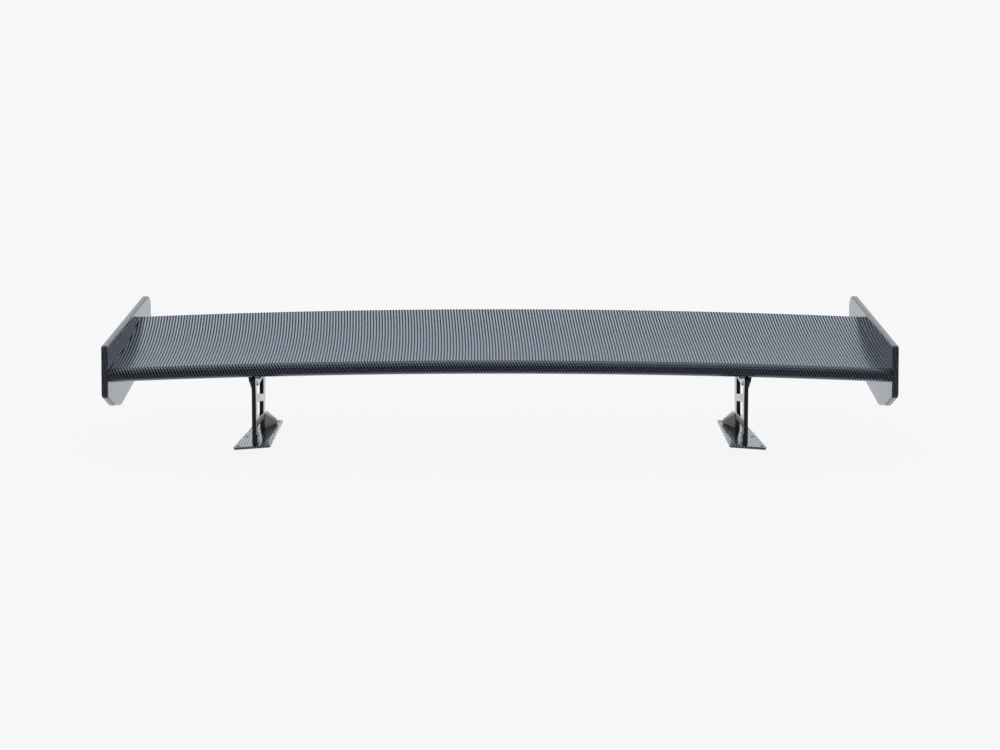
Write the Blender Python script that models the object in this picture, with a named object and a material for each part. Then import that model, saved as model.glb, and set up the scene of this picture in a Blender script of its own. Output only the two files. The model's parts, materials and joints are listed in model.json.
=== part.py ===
# Racing rear wing: a hollow carbon blade with end plates, tilting on two uprights on base plates.
# Metres. -Y is the nose of the blade, +Y its tail, +Z up. Left is the car's left, +X.
# The lowest edge of the base plates is at Z = 0.

import math

import bmesh
import bpy
from mathutils import Matrix, Vector

GAP = 0.0003                        # clearance between neighbouring solids
SIDES = 12                          # facets round a small turned piece
CUT_PAST = 0.002                    # how far a cutter runs past the faces that it cuts

# Blade section, (Y, Z) at the blade's ends
HALF_SPAN = 0.6897
ARCH_RISE = 0.015                   # how much higher the blade is at mid span
SPAN_STEPS = 12
NOSE_TOP = (-0.158, 0.153)
NOSE_FRONT = (-0.172, 0.141)
BELLY = (-0.115, 0.1235)
TAIL_TOP = (0.088, 0.191)
TAIL_THICKNESS = 0.002
UPPER_FRONT_SLOPE = 0.06            # slope of the upper skin just behind the nose
NOSE_TOP_HANDLE = (-0.009, -0.0005)
NOSE_FRONT_HANDLE_UP = (0.0, 0.007)
NOSE_FRONT_HANDLE_DOWN = (0.0, -0.0115)
BELLY_HANDLE_FORWARD = (-0.034, 0.0)
BELLY_HANDLE_BACK = (0.070, 0.0)
TAIL_HANDLE = (-0.052, -0.030)
UPPER_STEPS = 14
NOSE_STEPS = 5
CHIN_STEPS = 7
BELLY_STEPS = 11
SKIN = 0.0015

# Structure inside the blade
FRONT_SPAR = (-0.140, -0.1275)      # Y from flange edge to web
REAR_SPAR = (0.024, 0.0115)
SPAR_WEB = 0.002
SPAR_FLANGE = 0.0015
TAIL_STRIP_Y = (0.066, 0.080)
BOX_Y = (-0.1272, 0.0112)           # room between the two spar webs
END_RIB_X = (0.6775, 0.6895)
MOUNT_RIB_X = {"inner": (0.4385, 0.4425), "outer": (0.4820, 0.4860)}
HARD_POINT_X = (0.4430, 0.4815)
HARD_POINT_Y = (-0.124, 0.006)
HARD_POINT_THICKNESS = 0.008

# End plates, outline (Y, Z, corner radius)
END_PLATE_X = (0.690, 0.702)
END_PLATE_OUTLINE = (
    (-0.1613, 0.1945, 0.006),
    (-0.18155, 0.1070, 0.010),
    (-0.1370, 0.0785, 0.020),
    (-0.0930, 0.0665, 0.018),
    (0.1650, 0.1035, 0.010),
    (0.1843, 0.2175, 0.020),
)
END_PLATE_EDGE = 0.003
END_SCREWS = (("front", -0.105), ("middle", -0.055), ("rear", -0.008))
END_SCREW_LENGTH = 0.021

# Tilt of the blade
PIVOT = (-0.083, 0.1195)
ADJUSTER = (-0.0085, 0.118)
TILT_RANGE = math.radians(8)
SLOT_STEPS = 8
SLOT_CAP_STEPS = 5
BOLT_RADIUS = 0.003
WASHER_RADIUS = 0.0058
WASHER_THICKNESS = 0.0012
HEX_RADIUS = 0.00577                # centre to corner, 10 mm across flats
HEAD_HEIGHT = 0.004
NUT_HEIGHT = 0.005
BOLT_END = 0.0022                   # thread that stands out of the nut
BUSH_RADIUS = 0.0047

# Uprights
UPRIGHT_X = (0.4395, 0.4470)        # inner face, outer face
UPRIGHT_OUTLINE = (
    (-0.1195, 0.1255, 0.005),
    (-0.1228, 0.0930, 0.030),
    (-0.1400, 0.0000, 0.0),
    (-0.1205, 0.0000, 0.0),
    (-0.1182, 0.0330, 0.006),
    (-0.0440, 0.0270, 0.006),
    (-0.0475, 0.0000, 0.0),
    (-0.0060, 0.0000, 0.0),
    (-0.0060, 0.0165, 0.003),
    (-0.0259, 0.0330, 0.008),
    (0.0080, 0.1365, 0.006),
)
UPPER_WINDOW = (
    (-0.1030, 0.0914, 0.003),
    (-0.0371, 0.0730, 0.003),
    (-0.0290, 0.1040, 0.003),
    (-0.0890, 0.1025, 0.002),
    (-0.1100, 0.1195, 0.0015),
)
LOWER_WINDOW = (
    (-0.1063, 0.0772, 0.003),
    (-0.1148, 0.0454, 0.003),
    (-0.0464, 0.0384, 0.003),
    (-0.0406, 0.0599, 0.003),
)
FRONT_FOOT_PAD = ((-0.1410, 0.0), (-0.1180, 0.0), (-0.1180, 0.024), (-0.1355, 0.024))
FRONT_FOOT_PAD_X = (0.4375, 0.4405)

# Wing brackets
BRACKET_LUG_X = (0.4473, 0.4513)
BRACKET_LUG_Y = (-0.1225, 0.0020)
BRACKET_FLANGE_X = (0.4475, 0.4775)
BRACKET_FLANGE_Y = (-0.124, 0.004)
BRACKET_FLANGE_THICKNESS = 0.004
BRACKET_LUG_LOW = (                 # lower rim of the lug, from the rear to the front
    (0.0010, 0.1110),
    (-0.0160, 0.1085),
    (-0.0620, 0.1060),
    (-0.0800, 0.0985),
    (-0.0940, 0.0965),
    (-0.1215, 0.1200),
)
BRACKET_SCREW_X = 0.4640
BRACKET_SCREWS = (("front", -0.105), ("rear", -0.022))
BRACKET_SCREW_LENGTH = 0.0135
BUTTON_RADIUS = 0.005
BUTTON_HEIGHT = 0.003
BUTTON_CROWN_RADIUS = 0.00325
BUTTON_RIM_HEIGHT = 0.0009          # straight rim of the head, above its seat
SLOPE_REACH = 0.004                 # half the length over which a skin's slope is taken

# Base plates, plan (X, Y), lying on a plane that rises inwards from the outer edge
BASE_CORNERS = ((0.480, -0.153), (0.463, 0.010), (0.412, 0.010), (0.412, -0.153))
BASE_CORNER_RADIUS = 0.005
BASE_THICKNESS = 0.0045
BASE_ROLL = math.radians(4.2)
BASE_HOLES = (
    (0.4715, -0.1445),
    (0.4645, -0.0880),
    (0.4555, 0.0010),
    (0.4205, -0.1445),
    (0.4205, -0.0720),
    (0.4205, 0.0010),
)
BASE_HOLE_RADIUS = 0.00325

# Feet
FOOT_SCREWS = {"front": (0.4425, -0.1300), "rear": (0.4433, -0.0330), "gusset": (0.4275, -0.0150)}
FOOT_SCREW_LENGTH = 0.017
SCREW_RADIUS = 0.0025
SUNK_HEAD_RADIUS = 0.0048
SUNK_HEAD_HEIGHT = 0.0026
SOCKET_RADIUS = 0.0015
SOCKET_DEPTH = 0.0018
GUSSET_TOE_X = 0.4205               # innermost edge of the rear foot gusset
GUSSET_TOE_Z = 0.0150
GUSSET_TOP_Z = 0.0325
GUSSET_FOOT_Y = {"plate": (-0.0440, -0.0065), "toe": (-0.0150, -0.0075)}
GUSSET_CREST_Y = {"plate": (-0.0300, -0.0100), "toe": (-0.0135, -0.0075)}
CROSS_SCREW = (-0.0165, 0.0205)
CROSS_SCREW_LENGTH = 0.0145

FINISHES = {
    "twill_carbon": ((0.070, 0.080, 0.095), 0.18, 0.0),
    "black_plate": ((0.012, 0.013, 0.015), 0.25, 0.0),
    "bare_aluminium": ((0.62, 0.63, 0.65), 0.35, 1.0),
    "zinc_steel": ((0.45, 0.46, 0.48), 0.30, 1.0),
    "black_steel": ((0.03, 0.03, 0.03), 0.40, 0.6),
    "yellow_brass": ((0.60, 0.45, 0.18), 0.30, 1.0),
    "inner_laminate": ((0.04, 0.04, 0.045), 0.55, 0.0),
}


def finish(name):
    """The material of that name, made once."""
    material = bpy.data.materials.get(name)
    if material:
        return material
    colour, roughness, metallic = FINISHES[name]
    material = bpy.data.materials.new(name)
    material.use_nodes = True
    shader = material.node_tree.nodes["Principled BSDF"]
    shader.inputs["Base Color"].default_value = (*colour, 1.0)
    shader.inputs["Roughness"].default_value = roughness
    shader.inputs["Metallic"].default_value = metallic
    return material


def add_object(name, bm, material_name=None, parent=None):
    """Turns a bmesh in world coordinates into an object, with its origin on its parent if it has one."""
    bmesh.ops.recalc_face_normals(bm, faces=bm.faces)
    mesh = bpy.data.meshes.new(name)
    bm.to_mesh(mesh)
    bm.free()
    mesh.shade_smooth()
    mesh.set_sharp_from_angle(angle=math.radians(30))
    obj = bpy.data.objects.new(name, mesh)
    bpy.context.scene.collection.objects.link(obj)
    if parent:
        mesh.transform(Matrix.Translation(-parent.location))
        obj.parent = parent
    if material_name:
        mesh.materials.append(finish(material_name))
    return obj


def modify_with(obj, bm, operation):
    """Cuts the bmesh from the object, or joins it on, with a Boolean modifier."""
    tool = add_object(obj.name + "." + operation.lower(), bm, parent=obj.parent)
    tool.hide_render = True
    tool.display_type = "WIRE"
    boolean = obj.modifiers.new(operation.lower(), "BOOLEAN")
    boolean.operation = operation
    boolean.solver = "EXACT"
    boolean.object = tool


def mirrored(pair, side):
    """A pair of X positions given for +X, in rising order on the side asked for."""
    return tuple(sorted(side * x for x in pair))


def bezier(start, start_handle, end_handle, end, steps):
    """Points of a cubic curve; the handles are offsets from the ends, and the last point is included."""
    p0, p3 = Vector(start), Vector(end)
    p1, p2 = p0 + Vector(start_handle), p3 + Vector(end_handle)
    points = []
    for step in range(steps + 1):
        t = step / steps
        u = 1 - t
        points.append(p0 * u**3 + p1 * 3 * u * u * t + p2 * 3 * u * t * t + p3 * t**3)
    return points


def rounded(corners, steps=4):
    """An outline whose corners (a, b, radius) become arcs; a radius of zero keeps the corner."""
    outline = []
    count = len(corners)
    for k, (a, b, radius) in enumerate(corners):
        here = Vector((a, b))
        if radius == 0:
            outline.append(here)
            continue
        back = (Vector(corners[k - 1][:2]) - here).normalized()
        ahead = (Vector(corners[(k + 1) % count][:2]) - here).normalized()
        half = back.angle(ahead) / 2
        centre = here + (back + ahead).normalized() * (radius / math.sin(half))
        first = here + back * (radius / math.tan(half)) - centre
        last = here + ahead * (radius / math.tan(half)) - centre
        turn = first.angle_signed(last)
        for step in range(steps + 1):
            outline.append(centre + Matrix.Rotation(-turn * step / steps, 2) @ first)
    return outline


# ---- Blade section ----


def upper_height(y):
    """Height of the blade's upper surface at Y."""
    chord = TAIL_TOP[0] - NOSE_TOP[0]
    t = (y - NOSE_TOP[0]) / chord
    curl = (TAIL_TOP[1] - NOSE_TOP[1]) / chord - UPPER_FRONT_SLOPE
    return NOSE_TOP[1] + chord * (UPPER_FRONT_SLOPE * t + curl * t**3)


def height_at(line, y):
    """Height of a polyline that runs along +Y."""
    for a, b in zip(line, line[1:]):
        if a.x <= y <= b.x:
            return a.y + (b.y - a.y) * (y - a.x) / (b.x - a.x)
    raise ValueError("Y is outside the line")


def clipped(line, y0, y1, lift=0.0):
    """The stretch of a polyline between two Y values, raised by lift."""
    inside = [Vector((p.x, p.y)) for p in line if y0 < p.x < y1]
    ends = [Vector((y, height_at(line, y))) for y in (y0, y1)]
    return [p + Vector((0, lift)) for p in [ends[0], *inside, ends[1]]]


def offset_inwards(line, thickness_at, towards):
    """Each point of a polyline moved at right angles to it, to the side given by towards."""
    moved = []
    for k, point in enumerate(line):
        along = (line[min(k + 1, len(line) - 1)] - line[max(k - 1, 0)]).normalized()
        normal = Vector((-along.y, along.x)) * towards
        moved.append(point + normal * thickness_at(point))
    return moved


def section_lines():
    """Outer and inner lines of the two skins: upper outer, upper inner, lower outer, lower inner."""
    tail_low = (TAIL_TOP[0], TAIL_TOP[1] - TAIL_THICKNESS)
    nose_start = (NOSE_TOP[0] - GAP, NOSE_TOP[1])
    nose = bezier(nose_start, NOSE_TOP_HANDLE, NOSE_FRONT_HANDLE_UP, NOSE_FRONT, NOSE_STEPS)
    chin = bezier(NOSE_FRONT, NOSE_FRONT_HANDLE_DOWN, BELLY_HANDLE_FORWARD, BELLY, CHIN_STEPS)
    belly = bezier(BELLY, BELLY_HANDLE_BACK, TAIL_HANDLE, tail_low, BELLY_STEPS)
    lower = nose + chin[1:] + belly[1:]
    chord = TAIL_TOP[0] - NOSE_TOP[0]
    stations = [NOSE_TOP[0] + chord * k / UPPER_STEPS for k in range(UPPER_STEPS + 1)]
    upper = [Vector((y, upper_height(y))) for y in stations]

    def upper_thickness(point):
        if point.x < BELLY[0]:
            return SKIN
        return min(SKIN, (point.y - height_at(belly, point.x) - GAP) / 2)

    def lower_thickness(point):
        if point.x < BELLY[0]:
            return SKIN
        return min(SKIN, (upper_height(point.x) - point.y - GAP) / 2)

    upper_in = offset_inwards(upper, upper_thickness, -1)
    lower_in = offset_inwards(lower, lower_thickness, 1)
    upper_in[0].x = NOSE_TOP[0]
    lower_in[0].x = NOSE_TOP[0] - GAP
    upper_in[-1].x = TAIL_TOP[0]
    lower_in[-1].x = TAIL_TOP[0]
    return upper, upper_in, lower, lower_in


def arch(x):
    """Rise of the blade at X, straight between its span stations."""
    step = 2 * HALF_SPAN / SPAN_STEPS
    cell = min(int((x + HALF_SPAN) / step), SPAN_STEPS - 1)
    x0 = -HALF_SPAN + cell * step
    share = (x - x0) / step
    rise = [ARCH_RISE * (1 - (end / HALF_SPAN) ** 2) for end in (x0, x0 + step)]
    return rise[0] + (rise[1] - rise[0]) * share


def flat(x):
    """No rise, for pieces that don't follow the blade."""
    return 0.0


# ---- Solids ----


def sweep(bm, outline, x0, x1, rise=flat):
    """Adds a solid with the (Y, Z) outline between two X values, lifted by rise(x)."""
    stations = [-HALF_SPAN + 2 * HALF_SPAN * k / SPAN_STEPS for k in range(1, SPAN_STEPS)]
    between = [x for x in stations if x0 < x < x1] if rise is arch else []
    rings = []
    for x in [x0, *between, x1]:
        rings.append([bm.verts.new((x, p[0], p[1] + rise(x))) for p in outline])
    count = len(outline)
    for a, b in zip(rings, rings[1:]):
        for k in range(count):
            bm.faces.new((a[k], a[(k + 1) % count], b[(k + 1) % count], b[k]))
    bm.faces.new(rings[0])
    bm.faces.new(rings[-1])


def turned(bm, profile, origin, axis, sides=SIDES):
    """Adds a turned solid; each profile point is (radius, distance along the axis)."""
    frame = Vector(axis).to_track_quat("Z", "Y").to_matrix().to_4x4()
    frame.translation = Vector(origin)
    rings = []
    for radius, along, *shape in profile:
        if radius == 0:
            rings.append([bm.verts.new(frame @ Vector((0, 0, along)))])
            continue
        ring = []
        for k in range(sides):
            reach = radius * math.cos(math.pi / 6) if shape and k % 2 else radius
            angle = 2 * math.pi * k / sides
            point = Vector((reach * math.cos(angle), reach * math.sin(angle), along))
            ring.append(bm.verts.new(frame @ point))
        rings.append(ring)
    if profile[0][0] > 0:
        rings.append(rings[0])
    for a, b in zip(rings, rings[1:]):
        for k in range(sides):
            corners = (a[k % len(a)], a[(k + 1) % len(a)], b[(k + 1) % len(b)], b[k % len(b)])
            bm.faces.new(list(dict.fromkeys(corners)))


def rod(bm, radius, origin, axis, start, end):
    """Adds a plain cylinder along the axis, from start to end."""
    turned(bm, [(0, start), (radius, start), (radius, end), (0, end)], origin, axis)


def sunk_hole_profile(length):
    """Countersunk hole for a sunk screw of that length, with the clearance all round it."""
    return [
        (0, -CUT_PAST),
        (SUNK_HEAD_RADIUS + GAP, -CUT_PAST),
        (SUNK_HEAD_RADIUS + GAP, GAP),
        (SCREW_RADIUS + GAP, SUNK_HEAD_HEIGHT + GAP),
        (SCREW_RADIUS + GAP, length + GAP),
        (0, length + GAP),
    ]


def sunk_screw_profile(length):
    """Countersunk screw, its head's flat at 0."""
    return [
        (0, SOCKET_DEPTH),
        (SOCKET_RADIUS, SOCKET_DEPTH),
        (SOCKET_RADIUS, 0),
        (SUNK_HEAD_RADIUS, 0),
        (SCREW_RADIUS, SUNK_HEAD_HEIGHT),
        (SCREW_RADIUS, length),
        (0, length),
    ]


def ring_profile(inner, outer, start, thickness, *shape):
    """Washer, bush or nut between two distances along its axis."""
    end = start + thickness
    return [(inner, start), (outer, start, *shape), (outer, end, *shape), (inner, end)]


# ---- Blade ----


def add_skins(lines, parent):
    """Upper and lower skin; the lower one wraps round the nose and has the bracket screws' holes."""
    upper, upper_in, lower, lower_in = lines
    bm = bmesh.new()
    sweep(bm, upper + upper_in[::-1], -HALF_SPAN, HALF_SPAN, arch)
    add_object("blade_upper_skin", bm, "twill_carbon", parent)
    bm = bmesh.new()
    sweep(bm, lower + lower_in[::-1], -HALF_SPAN, HALF_SPAN, arch)
    skin = add_object("blade_lower_skin", bm, "twill_carbon", parent)
    holes = bmesh.new()
    for side in (-1, 1):
        for _, origin, axis in bracket_screw_axes(lines, side):
            rod(holes, BOLT_RADIUS + GAP, origin, axis, -CUT_PAST, SKIN + CUT_PAST)
    modify_with(skin, holes, "DIFFERENCE")


def spar_outline(lines, flange_end, web_end):
    """Channel section with a web at one end and flanges along both skins."""
    upper_in, lower_in = lines[1], lines[3][NOSE_STEPS:]
    y0, y1 = sorted((flange_end, web_end))
    web_face = web_end + math.copysign(SPAR_WEB, flange_end - web_end)
    low = clipped(lower_in, y0, y1, GAP)
    high = clipped(upper_in, y0, y1, -GAP)
    if web_end > flange_end:
        low, high = low[::-1], high[::-1]
    flange_lift = GAP + SPAR_FLANGE
    inside = [
        Vector((flange_end, height_at(lower_in, flange_end) + flange_lift)),
        Vector((web_face, height_at(lower_in, web_face) + flange_lift)),
        Vector((web_face, height_at(upper_in, web_face) - flange_lift)),
        Vector((flange_end, height_at(upper_in, flange_end) - flange_lift)),
    ]
    return low + inside + high[::-1]


def box_outline(lines, y0, y1):
    """Everything between the two skins from y0 to y1, clear of both."""
    low = clipped(lines[3][NOSE_STEPS:], y0, y1, GAP)
    return low + clipped(lines[1], y0, y1, -GAP)[::-1]


def add_spars(lines, parent):
    """Two channel spars, and the strip that bonds the skins at the tail."""
    for name, (flange_end, web_end) in (("front_spar", FRONT_SPAR), ("rear_spar", REAR_SPAR)):
        bm = bmesh.new()
        sweep(bm, spar_outline(lines, flange_end, web_end), -HALF_SPAN, HALF_SPAN, arch)
        add_object(name, bm, "inner_laminate", parent)
    bm = bmesh.new()
    sweep(bm, box_outline(lines, *TAIL_STRIP_Y), -HALF_SPAN, HALF_SPAN, arch)
    add_object("trailing_edge_strip", bm, "inner_laminate", parent)


def end_screw_origins(lines, side):
    """Name and place of each end plate screw: its head is in the outer face, half way between the skins."""
    for name, y in END_SCREWS:
        low = height_at(lines[3][NOSE_STEPS:], y)
        z = (low + height_at(lines[1], y)) / 2 + arch(HALF_SPAN)
        yield name, Vector((side * (END_PLATE_X[1] - GAP), y, z))


def add_end_rib(lines, side, word, parent):
    """Tapped rib that closes the spar box and takes the end plate's screws."""
    bm = bmesh.new()
    sweep(bm, box_outline(lines, *BOX_Y), *mirrored(END_RIB_X, side), arch)
    rib = add_object("end_rib_" + word, bm, "bare_aluminium", parent)
    holes = bmesh.new()
    start, end = (END_PLATE_X[1] - x for x in reversed(END_RIB_X))
    for _, origin in end_screw_origins(lines, side):
        rod(holes, SCREW_RADIUS + GAP, origin, (-side, 0, 0), start - CUT_PAST, end + CUT_PAST)
    modify_with(rib, holes, "DIFFERENCE")


def add_hard_point(lines, side, word, parent):
    """Tapped plate on the lower skin above the bracket, with a rib on either side of it."""
    low = clipped(lines[3][NOSE_STEPS:], *HARD_POINT_Y, GAP)
    high = clipped(lines[3][NOSE_STEPS:], *HARD_POINT_Y, GAP + HARD_POINT_THICKNESS)
    bm = bmesh.new()
    sweep(bm, low + high[::-1], *mirrored(HARD_POINT_X, side), arch)
    plate = add_object("hard_point_" + word, bm, "bare_aluminium", parent)
    holes = bmesh.new()
    for _, origin, axis in bracket_screw_axes(lines, side):
        rod(holes, BOLT_RADIUS + GAP, origin, axis, 0.0, SKIN + HARD_POINT_THICKNESS + 2 * CUT_PAST)
    modify_with(plate, holes, "DIFFERENCE")
    for place, pair in MOUNT_RIB_X.items():
        rib = bmesh.new()
        sweep(rib, box_outline(lines, *BOX_Y), *mirrored(pair, side), arch)
        add_object(f"mount_rib_{place}_{word}", rib, "inner_laminate", parent)


# ---- Brackets under the blade ----


def bracket_screw_axes(lines, side):
    """Name, point on the lower skin and upward normal of each bracket screw."""
    lower = lines[2][NOSE_STEPS:]
    for name, y in BRACKET_SCREWS:
        x = side * BRACKET_SCREW_X
        rise = height_at(lower, y + SLOPE_REACH) - height_at(lower, y - SLOPE_REACH)
        normal = Vector((0, -rise, 2 * SLOPE_REACH)).normalized()
        yield name, Vector((x, y, height_at(lower, y) + arch(x))), normal


def button_screw_profile(seat):
    """Button head screw whose head is pressed against a seat at that distance along its axis."""
    crown = seat - BUTTON_HEIGHT
    return [
        (0, crown + SOCKET_DEPTH),
        (SOCKET_RADIUS, crown + SOCKET_DEPTH),
        (SOCKET_RADIUS, crown),
        (BUTTON_CROWN_RADIUS, crown),
        (BUTTON_RADIUS, seat - BUTTON_RIM_HEIGHT),
        (BUTTON_RADIUS, seat),
        (BOLT_RADIUS, seat),
        (BOLT_RADIUS, seat + BRACKET_SCREW_LENGTH),
        (0, seat + BRACKET_SCREW_LENGTH),
    ]


def add_bracket(lines, side, word, parent):
    """Angle under the blade: a flange along the skin and a lug beside the upright, with its screws."""
    lower = lines[2][NOSE_STEPS:]
    top = clipped(lower, *BRACKET_FLANGE_Y, -GAP)
    under = clipped(lower, *BRACKET_FLANGE_Y, -GAP - BRACKET_FLANGE_THICKNESS)
    bm = bmesh.new()
    sweep(bm, top + under[::-1], *mirrored(BRACKET_FLANGE_X, side), arch)
    bracket = add_object("wing_bracket_" + word, bm, "black_plate", parent)
    lug_top = clipped(lower, *BRACKET_LUG_Y, -GAP - BRACKET_FLANGE_THICKNESS / 2)
    low = [Vector((y, z - arch(BRACKET_LUG_X[0]))) for y, z in BRACKET_LUG_LOW]
    lug = bmesh.new()
    sweep(lug, lug_top + low, *mirrored(BRACKET_LUG_X, side), arch)
    modify_with(bracket, lug, "UNION")
    holes = bmesh.new()
    lug_start, lug_end = BRACKET_LUG_X
    for place in (PIVOT, ADJUSTER):
        rod(holes, BOLT_RADIUS + GAP, (0, *place), (side, 0, 0), lug_start - CUT_PAST, lug_end + CUT_PAST)
    flange_under = -GAP - BRACKET_FLANGE_THICKNESS
    for name, origin, axis in bracket_screw_axes(lines, side):
        rod(holes, BOLT_RADIUS + GAP, origin, axis, flange_under - CUT_PAST, CUT_PAST)
        screw = bmesh.new()
        turned(screw, button_screw_profile(flange_under - 2 * GAP), origin, axis)
        add_object(f"bracket_screw_{name}_{word}", screw, "zinc_steel", parent)
    modify_with(bracket, holes, "DIFFERENCE")


# ---- End plates ----


def add_end_plate(lines, side, word, parent):
    """End plate with rounded edges, and the countersunk screws that go through it into the end rib."""
    bm = bmesh.new()
    sweep(bm, rounded(END_PLATE_OUTLINE), *mirrored(END_PLATE_X, side))
    plate = add_object("endplate_" + word, bm, "twill_carbon", parent)
    bevel = plate.modifiers.new("rounded edge", "BEVEL")
    bevel.width = END_PLATE_EDGE
    bevel.segments = 2
    bevel.limit_method = "ANGLE"
    bevel.angle_limit = math.radians(60)
    holes = bmesh.new()
    for name, origin in end_screw_origins(lines, side):
        inwards = (-side, 0, 0)
        turned(holes, sunk_hole_profile(END_SCREW_LENGTH), origin, inwards)
        screw = bmesh.new()
        turned(screw, sunk_screw_profile(END_SCREW_LENGTH), origin, inwards)
        add_object(f"endplate_screw_{name}_{word}", screw, "black_steel", parent)
    modify_with(plate, holes, "DIFFERENCE")


# ---- Stands ----


def base_bottom(x, y):
    """Height of a base plate's lower face: zero along its outer edge, rising inwards at the roll angle."""
    (xa, ya), (xb, yb) = BASE_CORNERS[:2]
    edge = math.hypot(xb - xa, yb - ya)
    distance = ((xa - abs(x)) * (yb - ya) + (y - ya) * (xb - xa)) / edge
    return distance * math.tan(BASE_ROLL)


def base_normal(side):
    """Upward normal of a base plate, from its rise over one metre each way."""
    rise_x = (base_bottom(1, 0) - base_bottom(0, 0)) * side
    rise_y = base_bottom(0, 1) - base_bottom(0, 0)
    return Vector((-rise_x, -rise_y, 1)).normalized()


def base_top(x, y):
    """Height of a base plate's upper face."""
    return base_bottom(x, y) + BASE_THICKNESS / math.cos(BASE_ROLL)


def stand_on_base(bm, clearance=GAP):
    """Brings the vertices at Z = 0 up to just above the base plate's upper face."""
    for vertex in bm.verts:
        if vertex.co.z == 0:
            vertex.co.z = base_top(vertex.co.x, vertex.co.y) + clearance


def add_at_foot_screws(bm, profile, places, side):
    """Turns the profile on the axes of the screws that come up through the base plate."""
    for place in places:
        x, y = FOOT_SCREWS[place]
        turned(bm, profile, (side * x, y, base_bottom(x, y) + GAP), base_normal(side))


def add_base_plate(side, word):
    """Tapered plate that bolts to the boot lid, and the screws that hold the feet to it."""
    outline = rounded([(x, y, BASE_CORNER_RADIUS) for x, y in BASE_CORNERS], 3)
    bm = bmesh.new()
    rings = []
    for height in (base_bottom, base_top):
        rings.append([bm.verts.new((side * p.x, p.y, height(p.x, p.y))) for p in outline])
    count = len(outline)
    for k in range(count):
        bm.faces.new((rings[0][k], rings[0][(k + 1) % count], rings[1][(k + 1) % count], rings[1][k]))
    bm.faces.new(rings[0])
    bm.faces.new(rings[1])
    plate = add_object("base_plate_" + word, bm, "twill_carbon")
    holes = bmesh.new()
    for x, y in BASE_HOLES:
        origin = (side * x, y, base_bottom(x, y))
        rod(holes, BASE_HOLE_RADIUS, origin, base_normal(side), -CUT_PAST, BASE_THICKNESS + CUT_PAST)
    add_at_foot_screws(holes, sunk_hole_profile(FOOT_SCREW_LENGTH), FOOT_SCREWS, side)
    modify_with(plate, holes, "DIFFERENCE")
    for place in FOOT_SCREWS:
        screw = bmesh.new()
        add_at_foot_screws(screw, sunk_screw_profile(FOOT_SCREW_LENGTH), [place], side)
        add_object(f"foot_screw_{place}_{word}", screw, "zinc_steel")


def slot_outline():
    """Curved slot round the pivot that the adjuster bolt moves in."""
    pivot, middle = Vector(PIVOT), Vector(ADJUSTER)
    arm = middle - pivot
    half_width = BOLT_RADIUS + GAP * 1.5
    end_angle = TILT_RANGE + 2 * GAP / arm.length
    outer, inner = [], []
    for step in range(SLOT_STEPS + 1):
        angle = -end_angle + 2 * end_angle * step / SLOT_STEPS
        along = Matrix.Rotation(angle, 2) @ arm
        outer.append(pivot + along * (1 + half_width / arm.length))
        inner.append(pivot + along * (1 - half_width / arm.length))
    ends = []
    for angle, first in ((end_angle, 0), (-end_angle, math.pi)):
        along = (Matrix.Rotation(angle, 2) @ arm).normalized()
        centre = pivot + Matrix.Rotation(angle, 2) @ arm
        cap = []
        for step in range(1, SLOT_CAP_STEPS):
            turn = Matrix.Rotation(first + math.pi * step / SLOT_CAP_STEPS, 2)
            cap.append(centre + turn @ along * half_width)
        ends.append(cap)
    return outer + ends[0] + inner[::-1] + ends[1]


def add_upright(side, word):
    """Black plate with its windows, the pivot hole, the adjuster slot and its two feet."""
    bm = bmesh.new()
    sweep(bm, rounded(UPRIGHT_OUTLINE), *mirrored(UPRIGHT_X, side))
    stand_on_base(bm)
    upright = add_object("upright_" + word, bm, "black_plate")
    pad = bmesh.new()
    sweep(pad, FRONT_FOOT_PAD, *mirrored(FRONT_FOOT_PAD_X, side))
    stand_on_base(pad, 4 * GAP)
    modify_with(upright, pad, "UNION")
    holes = bmesh.new()
    cut_start, cut_end = UPRIGHT_X[0] - CUT_PAST, UPRIGHT_X[1] + CUT_PAST
    cut_x = mirrored((cut_start, cut_end), side)
    for window in (UPPER_WINDOW, LOWER_WINDOW):
        sweep(holes, rounded(window, 3), *cut_x)
    sweep(holes, slot_outline(), *cut_x)
    rod(holes, BUSH_RADIUS + GAP, (0, *PIVOT), (side, 0, 0), cut_start, cut_end)
    turned(holes, sunk_hole_profile(CROSS_SCREW_LENGTH), cross_screw_origin(side), (-side, 0, 0))
    add_at_foot_screws(holes, sunk_hole_profile(FOOT_SCREW_LENGTH), ("front", "rear"), side)
    modify_with(upright, holes, "DIFFERENCE")


def cross_screw_origin(side):
    """Where the cross screw's flat head sits on the upright's outer face."""
    return Vector((side * (UPRIGHT_X[1] - GAP), *CROSS_SCREW))


def add_gusset(side, word):
    """Wedge on the inner side of the rear foot, and the cross screw that holds it to the upright."""
    ends = {"plate": (UPRIGHT_X[0] - GAP, GUSSET_TOP_Z), "toe": (GUSSET_TOE_X, GUSSET_TOE_Z)}
    bm = bmesh.new()
    for end, (x, crest_z) in ends.items():
        for y in GUSSET_FOOT_Y[end]:
            bm.verts.new((side * x, y, base_top(x, y) + GAP))
        for y in GUSSET_CREST_Y[end]:
            bm.verts.new((side * x, y, crest_z))
    bmesh.ops.convex_hull(bm, input=bm.verts)
    gusset = add_object("rear_gusset_" + word, bm, "black_plate")
    holes = bmesh.new()
    add_at_foot_screws(holes, sunk_hole_profile(FOOT_SCREW_LENGTH), ["gusset"], side)
    turned(holes, sunk_hole_profile(CROSS_SCREW_LENGTH), cross_screw_origin(side), (-side, 0, 0))
    modify_with(gusset, holes, "DIFFERENCE")
    screw = bmesh.new()
    turned(screw, sunk_screw_profile(CROSS_SCREW_LENGTH), cross_screw_origin(side), (-side, 0, 0))
    add_object("gusset_screw_" + word, screw, "zinc_steel")


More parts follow.
